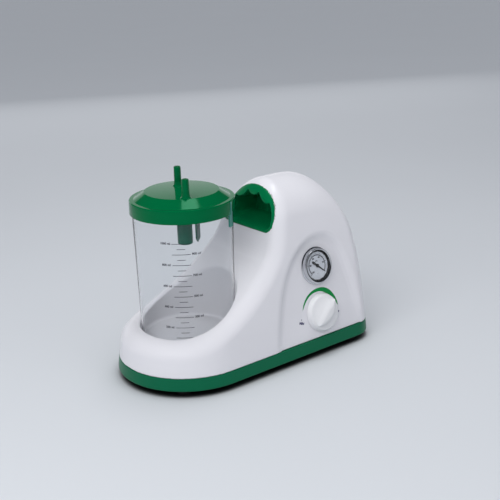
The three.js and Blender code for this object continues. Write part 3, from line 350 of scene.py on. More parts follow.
@dataclass(frozen=True)
class StudioPaper(Finish):
    """Matt studio paper with a painted contact shadow: near black in the gap under a thing standing on it."""

    shade: str = "#D3D6DA"
    drift_mm: float = 300.0
    painted_shadow_colour: str = "#101112"
    painted_shadow_reach_mm: float = 32.0
    full_shadow_share: float = 0.23
    no_shadow_share: float = 0.76

    def work(self, tree: Tree, shader: Node) -> None:
        """Adds the paper's slow drift in shade, and paints a dark shadow colour into the gap under the thing.

        Args:
            tree: the material's nodes.
            shader: its shader.
        """
        drift = self.pattern(tree, self.drift_mm)
        shades = {0: drift, 6: linear(self.colour), 7: linear(self.shade)}
        paper = add_node(tree, "ShaderNodeMix", {"data_type": "RGBA"}, shades)
        # Painted shadow: the ambient occlusion node mixes the paper toward the near-black shadow colour under
        # the tray
        gap = add_node(tree, "ShaderNodeAmbientOcclusion", {"samples": 12}, {"Distance": self.painted_shadow_reach_mm * MM})
        span = {"Value": gap.outputs["AO"], "From Min": self.full_shadow_share, "From Max": self.no_shadow_share}
        lit = add_node(tree, "ShaderNodeMapRange", {"interpolation_type": "SMOOTHSTEP"}, span)
        colours = {0: lit.outputs["Result"], 6: linear(self.painted_shadow_colour), 7: paper.outputs[2]}
        mix = add_node(tree, "ShaderNodeMix", {"data_type": "RGBA"}, colours)
        tree.links.new(mix.outputs[2], shader.inputs["Base Color"])


# ABS from a polished mould: hard gloss, white with a breath of violet where it turns from the light
HOUSING_WHITE = MouldedPlastic("housing_white_abs", "#ECEBF0", 0.26, 1.5, shade="#E9E8ED")
# ABS from a finer mould, for the knob: the same white with a little softer shine
KNOB_WHITE = MouldedPlastic("knob_white_abs", "#F0F0F2", 0.3, 1.53, shade="#ECECEF", ripple_mm=5.0)
# Pigmented ABS for the tray: deep green with a satin shine
TRAY_GREEN = MouldedPlastic("tray_green_abs", "#126747", 0.34, 1.35, gloss_tint="#80FFD0", shade="#116344")
# Pigmented ABS for the pocket: a cleaner green, with a soft shine on its finger lobes
POCKET_GREEN = MouldedPlastic("pocket_green_abs", "#007344", 0.3, 1.35, gloss_tint="#80FFD0", shade="#006E40")
# Polypropylene for the lid: brighter green, smooth enough to mirror the room at a low angle
LID_GREEN = MouldedPlastic(
    "lid_green_polypropylene", "#00663A", 0.09, 1.34, gloss_tint="#60FFC0", shade="#006237"
)
# Moulded polypropylene of the lid's tab and rib, paler than the lid: painted light, a highlight down the rib
# and light glowing through the thin tab
TAB_AND_RIB_PAINTED_LIGHT_GREEN = MouldedPlastic("tab_and_rib_painted_light_green", "#3C8C80", 0.3, 1.4, shade="#38867B")
# Moulded polypropylene of what hangs in the jar: a dull blue green with little shine
GUIDE_GREEN = MouldedPlastic("guide_green_polypropylene", "#1B5C4A", 0.35, 1.5, shade="#175444")
# Styrene from a polished mould, for the jar: clear walls, which only rims and corners draw
JAR_CLEAR = ClearPlastic("jar_clear_styrene", "#F9FAFB", 0.02, 1.12)
# Cast acrylic for the gauge's window: flat and clean, seen only by its glint
WINDOW_CLEAR = ClearPlastic("window_clear_acrylic", "#FBFCFC", 0.01, 1.25)
# Moulded rubber for the feet: black, dry and finely grained, with no highlight
FOOT_RUBBER = GrainyMatter(
    "foot_black_rubber", "#1B1B1C", 0.75, 1.5, grain_mm=1.2, depth_mm=0.05, shade="#141415"
)
# Moulded nylon for sockets, caps and the pointer: black with a dim sheen. The same black paints the shadow
# ring in the gauge's bezel.
FITTING_AND_SHADOW_BLACK = MouldedPlastic("black_nylon_and_painted_shadow", "#1A1A1C", 0.42, 1.53, shade="#161618", ripple_mm=3.0)
# Chromium plate on pressed brass: a mirror that shows the room in light and dark bands
BEZEL_CHROME = PlatedMetal("bezel_chrome_plate", "#CED0D4", 0.06, metallic=1.0)
# Turned steel for shaft and screws: grey, its tool lines spread the shine into rings
TURNED_STEEL = MachinedMetal("turned_bright_steel", "#A4A8AD", 0.34, metallic=1.0)
# Turned brass for the gauge's movement and the valve: warm yellow, ringed in the same way
TURNED_BRASS = MachinedMetal("turned_yellow_brass", "#B8964A", 0.3, metallic=1.0)
# Enamelled copper wire: brown red strands with a varnished gleam
WINDING_COPPER = GrainyMatter(
    "winding_enamelled_copper", "#A55B30", 0.38, metallic=0.8, grain_mm=0.8, shade="#7E3F1F"
)
# Cast aluminium for crankcase and end bells: light grey and pitted, its shine broken up
CAST_ALLOY = GrainyMatter("cast_aluminium_alloy", "#B4B7BB", 0.5, metallic=0.9, grain_mm=1.6, shade="#9EA1A6")
# Stoved enamel on the dial's card: even, pale and almost matt
DIAL_PAINT = GrainyMatter(
    "dial_stoved_enamel", "#D9DCE4", 0.5, 1.5, grain_mm=4.0, depth_mm=0.004, shade="#D3D6DF"
)
# Moulded undyed nylon: warm ivory with a waxy sheen
FITTING_IVORY = MouldedPlastic("fitting_ivory_nylon", "#DFDED8", 0.45, 1.53, shade="#D8D7D0", ripple_mm=3.0)
# Extruded silicone for the inner hoses: milky grey green, soft in its shine
SILICONE = MouldedPlastic("tube_silicone", "#C9CFC2", 0.45, 1.41, shade="#C2C8BA", ripple_mm=4.0)
# Pad-printed ink: thin, matt and even, and a little less than black
INK_DARK = GrainyMatter(
    "ink_pad_printed_dark", "#23232E", 0.6, 1.4, grain_mm=0.8, depth_mm=0.002, shade="#2C2C38"
)
# Pad-printed ink in dark blue, as matt as the dark one
INK_BLUE = GrainyMatter(
    "ink_pad_printed_blue", "#28265C", 0.6, 1.4, grain_mm=0.8, depth_mm=0.002, shade="#302E64"
)
# Pad-printed ink in leaf green, in a wide even field
INK_GREEN = GrainyMatter(
    "ink_pad_printed_green", "#0A8F45", 0.5, 1.3, grain_mm=2.0, depth_mm=0.002, shade="#088841"
)
# Pad-printed ink in off white, for marks on black
INK_WHITE = GrainyMatter(
    "ink_pad_printed_white", "#E4E4E4", 0.5, 1.5, grain_mm=0.8, depth_mm=0.002, shade="#DADADA"
)

SLOT_FINISHES: dict[str, Finish] = {
    Slot.WHITE.value: HOUSING_WHITE,
    Slot.GREEN.value: GUIDE_GREEN,
    Slot.CLEAR.value: WINDOW_CLEAR,
    Slot.RUBBER.value: FOOT_RUBBER,
    Slot.BLACK.value: FITTING_AND_SHADOW_BLACK,
    Slot.CHROME.value: BEZEL_CHROME,
    Slot.STEEL.value: TURNED_STEEL,
    Slot.BRASS.value: TURNED_BRASS,
    Slot.COPPER.value: WINDING_COPPER,
    Slot.ALLOY.value: CAST_ALLOY,
    Slot.DIAL.value: DIAL_PAINT,
    Slot.FITTING.value: FITTING_IVORY,
    Slot.HOSE.value: SILICONE,
}


# Places


@dataclass(frozen=True)
class Place:
    """A local frame: millimetres along its own side, up and out directions."""

    origin: Vector
    side: Vector
    up: Vector
    out: Vector

    def matrix(self) -> Matrix:
        """Turns local millimetres into the scene's metres."""
        turn = Matrix((self.side, self.up, self.out)).transposed().to_4x4()
        return Matrix.Translation(self.origin) @ turn @ Matrix.Scale(MM, 4)

    def moved(self, side: float, up: float, out: float = 0.0, turn: float = 0.0) -> Place:
        """A frame at a point of this one, turned about its out direction.

        Args:
            side: distance along side, millimetres.
            up: distance along up, millimetres.
            out: distance along out, millimetres.
            turn: angle about out, radians.

        Returns:
            The new frame.
        """
        origin = self.origin + (self.side * side + self.up * up + self.out * out) * MM
        across = self.side * math.cos(turn) + self.up * math.sin(turn)
        return Place(origin, across, self.out.cross(across), self.out)

    def tilted(self, angle: float) -> Place:
        """A frame here that leans about its side direction, radians."""
        up = self.up * math.cos(angle) + self.out * math.sin(angle)
        return Place(self.origin, self.side, up, self.side.cross(up))


def jar_place() -> Place:
    """Finds the jar's axis.

    Returns:
        The frame there, on the floor, which all sizes are measured in.
    """
    low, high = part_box("collection_jar")
    middle = (low + high) / 2
    return Place(Vector((middle.x, middle.y, 0)), Vector((1, 0, 0)), Vector((0, 1, 0)), Vector((0, 0, 1)))


def leaning_place(base: Place, point: Sequence[float], facing: Sequence[float], lean: float) -> Place:
    """A frame on a wall that leans back.

    Args:
        base: the frame that the point is given in.
        point: the wall's foot, millimetres.
        facing: the wall's level outward direction.
        lean: its angle from upright, radians.

    Returns:
        The frame, its out direction square to the wall.
    """
    level, rise = math.cos(lean), math.sin(lean)
    out = Vector((facing[0] * level, facing[1] * level, rise))
    up = Vector((-facing[0] * rise, -facing[1] * rise, level))
    origin = base.origin + Vector(point) * MM
    return Place(origin, up.cross(out), up, out)


# Shapes from distance fields, in millimetres


def rounded(a: Array, b: Array, radius: float) -> Array:
    """The overlap of two solids, its edge rounded.

    Args:
        a: distance to the first solid, negative inside.
        b: distance to the second.
        radius: of the edge, millimetres.

    Returns:
        Distance to the overlap.
    """
    u, v = np.maximum(a + radius, 0), np.maximum(b + radius, 0)
    return np.minimum(np.maximum(a, b), -radius) + np.hypot(u, v)


def carved(body: Array, tool: Array, radius: float) -> Array:
    """A solid less a tool, the cut's lip rounded."""
    return rounded(body, -tool, radius)


def blended(a: Array, b: Array, radius: float) -> Array:
    """Two solids as one, the corner between them filled to a radius."""
    return -rounded(-a, -b, radius)


def squared_gap(x: Array, y: Array, start: Sequence[float], end: Sequence[float]) -> Array:
    """Squared distance to a straight stretch.

    Args:
        x: the points' first coordinates.
        y: their second coordinates.
        start: the stretch's first end.
        end: its other end.

    Returns:
        The squares.
    """
    dx, dy = end[0] - start[0], end[1] - start[1]
    share = np.clip(((x - start[0]) * dx + (y - start[1]) * dy) / (dx * dx + dy * dy), 0, 1)
    return (x - start[0] - share * dx) ** 2 + (y - start[1] - share * dy) ** 2


def outline_distance(x: Array, y: Array, corners: Array) -> Array:
    """Distance to a closed outline, negative inside.

    Args:
        x: first coordinates.
        y: second coordinates.
        corners: the outline's points, one row each.

    Returns:
        The signed distances.
    """
    x, y = np.broadcast_arrays(x, y)
    nearest = np.full(x.shape, np.inf)
    crossings = np.zeros(x.shape, bool)
    for (ax, ay), (bx, by) in zip(corners, np.roll(corners, -1, axis=0)):
        dx, dy = bx - ax, by - ay
        if dx * dx + dy * dy < TINY:
            continue
        nearest = np.minimum(nearest, squared_gap(x, y, (ax, ay), (bx, by)))
        if abs(dy) > TINY:
            spans = (ay > y) != (by > y)
            crossings ^= spans & (x < ax + (y - ay) * dx / dy)
    return np.where(crossings, -1, 1) * np.sqrt(nearest)


def rounded_box(x: Array, y: Array, half_x: float, half_y: float, corner: float) -> Array:
    """Distance to a rounded rectangle about the origin."""
    u, v = np.abs(x) - half_x + corner, np.abs(y) - half_y + corner
    return np.hypot(np.maximum(u, 0), np.maximum(v, 0)) + np.minimum(np.maximum(u, v), 0) - corner


def gradient(distance: Field, points: Array, step: float) -> Array:
    """A field's slope, by differences.

    Args:
        distance: the field.
        points: where, one row each.
        step: how far from each point the field is read, millimetres.

    Returns:
        The slopes, one row each.
    """
    slopes = []
    for axis in range(3):
        offset = np.zeros(3)
        offset[axis] = step
        ahead, behind = (points + offset).T, (points - offset).T
        slopes.append((distance(*ahead) - distance(*behind)) / (2 * step))
    return np.stack(slopes, 1)


def cast(distance: Field, low: Sequence[float], high: Sequence[float], cell: float) -> Skin:
    """Skins a distance field with square facets, each point moved onto the surface.

    Args:
        distance: the solid's field.
        low: the lowest corner of the space searched, millimetres.
        high: its highest corner.
        cell: the facets' width, millimetres.

    Returns:
        Points, facets of four points, and the surface's directions at the points.
    """
    axes = [a + cell * np.arange(math.ceil((b - a) / cell) + 1) for a, b in zip(low, high)]
    sparse = np.meshgrid(*axes, indexing="ij", sparse=True)
    values = np.broadcast_to(distance(*sparse), tuple(len(a) for a in axes))
    inside = values < 0
    shape = tuple(n - 1 for n in inside.shape)
    corner_shifts = [(i, j, k) for i in (0, 1) for j in (0, 1) for k in (0, 1)]
    count = np.zeros(shape, np.int8)
    for i, j, k in corner_shifts:
        count += inside[i : i + shape[0], j : j + shape[1], k : k + shape[2]]
    mixed = (count > 0) & (count < 8)
    cells = np.stack(np.nonzero(mixed), 1)
    number = np.full(shape, -1)
    number[mixed] = np.arange(len(cells))
    total, crossed = np.zeros((len(cells), 3)), np.zeros(len(cells))
    for start in corner_shifts:
        for axis in range(3):
            if start[axis]:
                continue
            end = tuple(s + (i == axis) for i, s in enumerate(start))
            a = values[tuple((cells + start).T)]
            b = values[tuple((cells + end).T)]
            cut = (a < 0) != (b < 0)
            point = (cells + start).astype(float)
            point[:, axis] += np.where(cut, a / np.where(cut, a - b, 1), 0)
            total[cut] += point[cut]
            crossed[cut] += 1
    points = total / crossed[:, None] * cell + np.array([a[0] for a in axes])
    quads = []
    for axis in range(3):
        u, v = (axis + 1) % 3, (axis + 2) % 3
        ahead = np.moveaxis(inside, axis, 0)
        change = np.moveaxis(ahead[:-1] != ahead[1:], 0, axis)
        keep = np.ones(change.shape, bool)
        for other in (u, v):
            edge = [slice(None)] * 3
            edge[other] = [0, -1]
            keep[tuple(edge)] = False
        at = np.stack(np.nonzero(change & keep), 1)
        step_u, step_v = np.eye(3, dtype=int)[u], np.eye(3, dtype=int)[v]
        ring = [number[tuple((at - shift).T)] for shift in (step_u + step_v, step_v, 0 * step_u, step_u)]
        quad = np.stack(ring, 1)
        outward = inside[tuple(at.T)]
        quads.append(np.where(outward[:, None], quad, quad[:, ::-1]))
    for _ in range(3):
        slope = gradient(distance, points, cell / 4)
        size = np.maximum((slope**2).sum(1), LEAST_SLOPE)
        points = points - np.clip(distance(*points.T) / size, -cell / 2, cell / 2)[:, None] * slope
    slope = gradient(distance, points, cell / 3)
    normals = slope / np.maximum(np.linalg.norm(slope, axis=1), 1e-9)[:, None]
    return points, np.concatenate(quads), normals


def trimmed(skin: Skin, keep: Callable[[Array], Array]) -> Skin:
    """Leaves out part of a skin.

    Args:
        skin: points, facets and directions.
        keep: says of facets' centres which stay.

    Returns:
        The skin without the other facets and the points that only they used.
    """
    points, facets, normals = skin
    kept = facets[keep(points[facets].mean(1))]
    used, renumbered = np.unique(kept, return_inverse=True)
    return points[used], renumbered.reshape(kept.shape), normals[used]


# Shapes from given points


def filleted(corners: Sequence[tuple[float, float, float]], steps: int = 5) -> list[tuple[float, float]]:
    """Rounds the corners of a profile.

    Args:
        corners: radius, height and the fillet's radius at each corner.
        steps: facets in each fillet.

    Returns:
        The profile's points.
    """
    points: list[tuple[float, float]] = []
    for i, (r, z, fillet) in enumerate(corners):
        if not fillet or i in (0, len(corners) - 1):
            points.append((r, z))
            continue
        here = Vector((r, z))
        before = Vector(corners[i - 1][:2]) - here
        after = Vector(corners[i + 1][:2]) - here
        half = before.angle(after) / 2
        reach = min(fillet / math.tan(half), before.length * 0.48, after.length * 0.48)
        start, end = here + before.normalized() * reach, here + after.normalized() * reach
        for step in range(steps + 1):
            t = step / steps
            point = start * (1 - t) ** 2 + here * 2 * t * (1 - t) + end * t * t
            points.append((point.x, point.y))
    return points


def lathe(profile: Profile, sides: int = 96) -> Mesh:
    """Turns a profile about the frame's out direction.

    Args:
        profile: radius and height pairs, upward on the outside.
        sides: facets round.

    Returns:
        Points and facets. A profile that starts or ends on the axis closes there.
    """
    points: list[tuple[float, float, float]] = []
    rings: list[list[int]] = []
    for r, z in profile:
        if r < TINY:
            rings.append([len(points)] * sides)
            points.append((0, 0, z))
            continue
        rings.append(list(range(len(points), len(points) + sides)))
        for i in range(sides):
            turn = 2 * math.pi * i / sides
            points.append((r * math.cos(turn), r * math.sin(turn), z))
    facets = []
    for below, above in zip(rings, rings[1:]):
        for i in range(sides):
            j = (i + 1) % sides
            facet = tuple(dict.fromkeys((below[i], below[j], above[j], above[i])))
            if len(facet) > 2:
                facets.append(facet)
    return np.array(points), facets


def between(back: Sequence[Sequence[float]], front: Sequence[Sequence[float]]) -> Mesh:
    """A closed solid between two like outlines.

    Args:
        back: the points of its back face.
        front: those of its front, as many and in the same order.

    Returns:
        Points and facets.
    """
    n = len(back)
    sides = [(i, (i + 1) % n, n + (i + 1) % n, n + i) for i in range(n)]
    return np.array([*back, *front]), [tuple(range(n))[::-1], tuple(range(n, 2 * n)), *sides]


def plate(outline: Sequence[tuple[float, float]], height: float, thickness: float) -> Mesh:
    """A thin flat plate, as a print of ink is.

    Args:
        outline: its points, anticlockwise.
        height: of its back, along out.
        thickness: of the plate.

    Returns:
        Points and facets.
    """
    return between([(x, y, height) for x, y in outline], [(x, y, height + thickness) for x, y in outline])


def lettering(text: str, size: float, height: float, tilt: float = 0.0, bold: float = 0.0) -> Mesh:
    """Letters as a flat mesh about the origin, from Blender's own font.

    Args:
        text: the letters.
        size: of the type, millimetres.
        height: of the ink's face, along out.
        tilt: angle about out, radians.
        bold: added to each side of the strokes, millimetres.

    Returns:
        Points and facets.
    """
    curve = bpy.data.curves.new("lettering", "FONT")
    curve.body = text
    curve.size = size
    curve.offset = bold
    curve.align_x = "CENTER"
    curve.align_y = "CENTER"
    curve.resolution_u = 3
    holder = bpy.data.objects.new("lettering", curve)
    bpy.context.scene.collection.objects.link(holder)
    bpy.context.view_layer.update()
    mesh = bpy.data.meshes.new_from_object(holder.evaluated_get(bpy.context.evaluated_depsgraph_get()))
    points = np.array([tuple(v.co) for v in mesh.vertices]) @ np.array(Matrix.Rotation(-tilt, 3, "Z"))
    points[:, 2] = height
    facets = [tuple(p.vertices) for p in mesh.polygons]
    bpy.data.objects.remove(holder)
    bpy.data.meshes.remove(mesh)
    bpy.data.curves.remove(curve)
    return points, facets


def gathered(parts: Iterable[Mesh]) -> Mesh:
    """Several meshes as one.

    Args:
        parts: points and facets of each.

    Returns:
        All points and all facets.
    """
    points: list[Array] = []
    facets: list[tuple[int, ...]] = []
    start = 0
    for part_points, part_facets in parts:
        facets += [tuple(int(i) + start for i in facet) for facet in part_facets]
        points.append(np.asarray(part_points, float))
        start += len(part_points)
    return np.concatenate(points), facets


def shifted(part: Mesh, offset: Sequence[float]) -> Mesh:
    """A mesh moved by an offset."""
    return np.asarray(part[0], float) + np.array(offset, float), part[1]


def fit(
    name: str,
    shape: Mesh | Skin,
    place: Place,
    finish: Finish,
    body: Body,
    slot: Slot | None = None,
    replaces: Sequence[str] = (),
    crease: float = 40.0,
    casts_shadow: bool = True,
) -> bpy.types.Object:
    """Makes a piece of a mesh, dresses it, and sets it on the body that it moves with.

    Args:
        name: the piece's name.
        shape: points in local millimetres, facets, and the surface's directions where they are known.
        place: the frame that the points are in.
        finish: what it is made of.
        body: what it rides on.
        slot: the record's material slot; not used.
        replaces: CAD nodes that it stands for.
        crease: the angle in degrees from which an edge stays sharp.
        casts_shadow: false for clear pieces, which let the lamps' light through to what they cover.

    Returns:
        The new object.
    """
    to_scene = place.matrix()
    turn = np.array(to_scene)
    points = np.asarray(shape[0], float) @ turn[:3, :3].T + turn[:3, 3]
    mesh = bpy.data.meshes.new(name)
    mesh.from_pydata(points.tolist(), [], [[int(i) for i in facet] for facet in shape[1]])
    mesh.polygons.foreach_set("use_smooth", [True] * len(mesh.polygons))
    if len(shape) > 2:
        directions = shape[2] @ (turn[:3, :3] / MM).T
        mesh.normals_split_custom_set_from_vertices(directions.tolist())
    else:
        mesh.set_sharp_from_angle(angle=math.radians(crease))
    mesh.materials.append(finish.make())
    made = bpy.data.objects.new(name, mesh)
    made.visible_shadow = casts_shadow
    bpy.context.scene.collection.objects.link(made)
    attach(made, body.value)
    if replaces:
        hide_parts(*replaces)
    LOG.info("%s: %d points on %s", name, len(points), body.value)
    return made


# The housing


def bezier(
    a: Sequence[float], b: Sequence[float], c: Sequence[float], d: Sequence[float], steps: int = 14
) -> list[tuple[float, float]]:
    """Draws a cubic curve.

    Args:
        a: its start.
        b: what it leaves the start towards.
        c: what it comes to the end from.
        d: its end.
        steps: how many points it gets.

    Returns:
        Its points after the start.
    """
    points = []
    for i in range(1, steps + 1):
        t = i / steps
        weights = ((1 - t) ** 3, 3 * t * (1 - t) ** 2, 3 * t * t * (1 - t), t**3)
        points.append(tuple(sum(w * p[k] for w, p in zip(weights, (a, b, c, d))) for k in (0, 1)))
    return points


@dataclass
class Footprint:
    """The plan that tray and housing share, which leans in as it rises."""

    end_radius: float = 83.0
    rear_reach: float = 223.0
    rear_corner: float = 30.0
    crown_corner: float = 10.0
    corner_join: float = 12.0
    corner_loss_share: float = 0.6
    foot: float = 6.8
    lean: float = 0.12
    bend: float = 1800.0
    upright_share: float = 0.5
    wall_angle: float = math.atan(0.22)

    def inset(self, z: Array) -> Array:
        """How far the wall leans in at a height."""
        up = z - self.foot
        return self.lean * up + up * up / self.bend

    def side(self, x: Array, y: Array, z: Array) -> Array:
        """Distance to the leaning side wall, whose rear corners stay rounded right up.

        Args:
            x: places along the unit from the jar's axis, millimetres.
            y: places across it.
            z: heights above the floor.

        Returns:
            The distances, negative inside.
        """
        inset = self.inset(z)
        round_end = np.hypot(x, y) - self.end_radius + inset
        along = np.maximum(x - self.upright_share * inset, np.minimum(x, 0)) - self.rear_reach + inset
        across = np.abs(y) - self.end_radius + inset
        corner = self.rear_corner - np.minimum(inset, self.corner_loss_share * self.rear_corner)
        deep = self.crown_corner + np.maximum(-rounded(along, across, corner), 0)
        straight = rounded(along, across, (corner + deep + np.hypot(corner - deep, self.corner_join)) / 2)
        return np.where(x < 0, round_end, straight) * math.cos(self.wall_angle)


@dataclass
class PocketForm:
    """The carrying pocket's outline: a flat sill, round corners and an arch with finger lobes."""

    half: float = 41.0
    sill: float = 150.0
    spring: float = 161.0
    crown: float = 196.2
    corner: float = 8.0
    front: float = 60.0
    back: float = 133.0
    wall: float = 2.4
    flush: float = -0.35
    overlap: float = 1.1
    lip_side: float = 1.5
    lip_top: float = 0.6
    lip_sill: float = 1.2
    lip_round: float = 0.9
    mouth_round: float = 1.0
    draft: float = 7.0
    draft_start: float = 88.0
    finger_pitch: float = 20.0
    finger_drop: float = 7.6
    finger_span_share: float = 1.5
    lobe_power: float = 0.7
    corner_steps: int = 8
    arch_steps: int = 96

    def outline(self, side: float = 0, top: float = 0, sill: float = 0, lobes: float = 0) -> Array:
        """Draws the outline pulled in, with lobes hanging from its arch.

        Args:
            side: how far its sides are pulled in, millimetres.
            top: how far its crown is.
            sill: how far its sill is.
            lobes: how far the lobes between the fingers hang.

        Returns:
            Its points, one row each.
        """
        half, low, high = self.half - side, self.sill + sill, self.crown - top
        points: list[tuple[float, float]] = []
        for sign in (-1, 1):
            for i in range(self.corner_steps + 1):
                angle = math.radians(90 * (i if sign < 0 else self.corner_steps - i) / self.corner_steps)
                reach = half - self.corner + self.corner * math.cos(angle)
                points.append((sign * reach, low + self.corner - self.corner * math.sin(angle)))
        for i in range(self.arch_steps + 1):
            turn = math.pi * i / self.arch_steps
            y = half * math.cos(turn)
            among_fingers = abs(y) < self.finger_span_share * self.finger_pitch
            lobe = abs(math.cos(math.pi * y / self.finger_pitch)) if among_fingers else 0
            arch = self.spring + (high - self.spring) * math.sin(turn)
            points.append((y, arch - lobes * lobe**self.lobe_power))
        return np.array(points)

    def outer(self, x: Array, y: Array, z: Array, margin: float = 0) -> Array:
        """Distance to the moulding's block, grown by a margin."""
        around = outline_distance(y, z, self.outline()) - margin
        return np.maximum(around, np.maximum(self.front - x, x - self.back - margin))


@dataclass
class PanelForm:
    """The arch-shaped panel recess, in the panel's own frame."""

    recess: float = 1.8
    left: float = 69.0
    right: float = 198.5
    foot: float = -30.0
    crown_x: float = 148.0
    crown: float = 115.6
    edge_inset: float = 0.8
    slope_share: float = 1.4
    slope_depth: float = 2.0
    floor_round: float = 2.5
    left_shares: Profile = ((0.07, 0.22), (0.17, 0.47), (0.3, 0.64), (0.43, 0.8), (0.66, 1), (1, 1))
    right_shares: Profile = ((0.65, 1), (0.42, 0.9), (0.29, 0.62), (0.17, 0.4), (0.06, 0.2), (0, 0))
    corners: Array = field(init=False)

    def __post_init__(self) -> None:
        """Draws the outline once."""
        left = [(self.left + (self.crown_x - self.left) * a, self.crown * b) for a, b in self.left_shares]
        right = [(self.right - (self.right - self.crown_x) * a, self.crown * b) for a, b in self.right_shares]
        line = [(self.left, self.foot), (self.left, 0.0)]
        line += bezier((self.left, 0), left[0], left[1], left[2])
        line += bezier(left[2], left[3], left[4], left[5])
        line += bezier(left[5], right[0], right[1], right[2])
        line += bezier(right[2], right[3], right[4], right[5])
        line += [(self.right, self.foot)]
        self.corners = np.array(line)[::-1]

    def space(self, side: Array, up: Array, out: Array) -> Array:
        """Distance to the space in front of the panel, its edges sloped and its floor filleted."""
        slope = self.slope_share * np.maximum(out, -self.slope_depth)
        edge = outline_distance(side, up, self.corners) + self.edge_inset - slope
        return rounded(-out, edge / math.hypot(1, self.slope_share), self.floor_round)


@dataclass
class Housing:
    """The white moulded housing: jar well, saddle, carrying pocket, panel and rear recess."""

    base: Place
    plan: Footprint = field(default_factory=Footprint)
    pocket: PocketForm = field(default_factory=PocketForm)
    panel: PanelForm = field(default_factory=PanelForm)
    bottom: float = 22.3
    hem: float = 0.5
    hem_round: float = 0.7
    skirt: float = 4.0
    wall: float = 2.6
    ridge: float = 204.0
    ridge_x: float = 140.0
    rear_shoulder: float = 165.0
    fall_power: float = 2.3
    shoulder_round: float = 39.0
    edge_round: float = 16.0
    lip_round: float = 2.2
    rim: float = 54.0
    saddle_shares: Profile = (
        (-0.32, 0.017), (-0.11, 0.03), (0.27, 0.2), (0.514, 0.447),
        (0.614, 0.53), (0.654, 0.693), (0.72, 0.918), (0.921, 1.632),
    )
    well_radius: float = 57.1
    well_draft: float = 2.6
    well_floor: float = 39.6
    well_round: float = 4.0
    rear_depth: float = 3.5
    rear_lean: float = math.atan(0.085)
    rear_width: float = 92.0
    rear_height: float = 36.0
    rear_up: float = 28.0
    rear_corner: float = 6.0
    rear_floor_round: float = 1.2
    rear_lip: float = 1.4
    gauge: tuple[float, float] = (141.0, 83.6)
    gauge_hole: float = 18.6
    knob: tuple[float, float] = (139.0, 28.0)
    knob_hole: float = 5.6
    nozzle: tuple[float, float] = (112.0, 104.0)
    nozzle_hole: float = 2.95
    inlet_side: float = -26.0
    inlet_half: tuple[float, float] = (14.1, 10.1)
    fuse_side: float = 4.0
    fuse_hole: float = 6.4
    switch_side: float = 30.0
    switch_half: tuple[float, float] = (7.9, 10.9)
    hole_corner: float = 0.5
    hole_depth: float = 9.0
    opening_round: float = 0.7
    pocket_gap: float = 0.3
    panel_reach: float = 16.0
    panel_start: float = 40.0
    far_off: float = 50.0
    facet: float = 1.5
    inside_facet: float = 3.0
    pocket_facet: float = 0.75
    saddle: Array = field(init=False)

    def __post_init__(self) -> None:
        """Draws the saddle line once."""
        rise = self.ridge - self.rim
        at = [(self.ridge_x * a, self.rim + rise * b) for a, b in self.saddle_shares]
        line = [(-2 * self.plan.end_radius, at[0][1]), at[0]]
        line += bezier(at[0], at[1], at[2], at[3], 24)
        line += bezier(at[3], at[4], at[5], at[6], 20)
        self.saddle = np.array([*line, at[7]])

    def panel_place(self) -> Place:
        """The panel's frame."""
        depth = float(self.plan.inset(self.bottom)) + self.panel.recess - self.plan.end_radius
        return leaning_place(self.base, (0, depth, self.bottom), (0, -1), self.plan.wall_angle)

    def rear_place(self) -> Place:
        """The rear recess's frame."""
        foot = (self.plan.rear_reach - self.rear_depth, 0, self.bottom)
        return leaning_place(self.base, foot, (1, 0), self.rear_lean)

    def nozzle_place(self) -> Place:
        """The vacuum nozzle's frame, on the far wall.

        Returns:
            The frame, its out direction away from the unit.
        """
        x, z = self.nozzle
        spot = (x, self.plan.end_radius - float(self.plan.inset(z)), z)
        return leaning_place(self.base, spot, (0, 1), self.plan.wall_angle)

    def local(self, place: Place, x: Array, y: Array, z: Array) -> tuple[Array, ...]:
        """Points of the jar's frame in another frame.

        Args:
            place: the other frame.
            x: places along the unit from the jar's axis, millimetres.
            y: places across it.
            z: heights above the floor.

        Returns:
            Their places along the frame's side, up and out.
        """
        at = (place.origin - self.base.origin) / MM
        dx, dy, dz = x - at.x, y - at.y, z - at.z
        return tuple(dx * d.x + dy * d.y + dz * d.z for d in (place.side, place.up, place.out))

    def saddle_distance(self, x: Array, z: Array) -> Array:
        """Distance to the solid under the saddle line.

        Args:
            x: places along the unit from the jar's axis, millimetres.
            z: heights above the floor.

        Returns:
            The distances, negative inside.
        """
        x, z = np.broadcast_arrays(x, z)
        nearest = np.full(x.shape, np.inf)
        for start, end in zip(self.saddle, self.saddle[1:]):
            nearest = np.minimum(nearest, squared_gap(x, z, start, end))
        height = np.interp(x, self.saddle[:, 0], self.saddle[:, 1])
        above = (z > height) & (x <= self.saddle[-1, 0])
        return np.where(above, 1, -1) * np.sqrt(nearest)

    def back_distance(self, x: Array, z: Array) -> Array:
        """Distance to the solid under the falling back.

        Args:
            x: places along the unit from the jar's axis, millimetres.
            z: heights above the floor.

        Returns:
            The distances, negative inside.
        """
        drop, length = self.ridge - self.rear_shoulder, self.plan.rear_reach - self.ridge_x
        share = np.maximum(x - self.ridge_x, 0) / length
        slope = drop * self.fall_power / length * share ** (self.fall_power - 1)
        return (z - self.ridge + drop * share**self.fall_power) / np.hypot(1, slope)

    def skin(self, x: Array, y: Array, z: Array) -> Array:
        """Distance to the housing before anything is cut in it."""
        body = rounded(self.plan.side(x, y, z), self.back_distance(x, z), self.shoulder_round)
        return rounded(body, self.saddle_distance(x, z), self.edge_round)

    def well(self, x: Array, y: Array, z: Array) -> Array:
        """Distance to the jar's well.

        Args:
            x: places along the unit from the jar's axis, millimetres.
            y: places across it.
            z: heights above the floor.

        Returns:
            The distances, negative in the well.
        """
        share = np.clip((z - self.well_floor) / (self.pocket.sill - self.well_floor), 0, 1)
        radius = self.well_radius - self.well_draft * (1 - share)
        return rounded(np.hypot(x, y) - radius, self.well_floor - z, self.well_round)

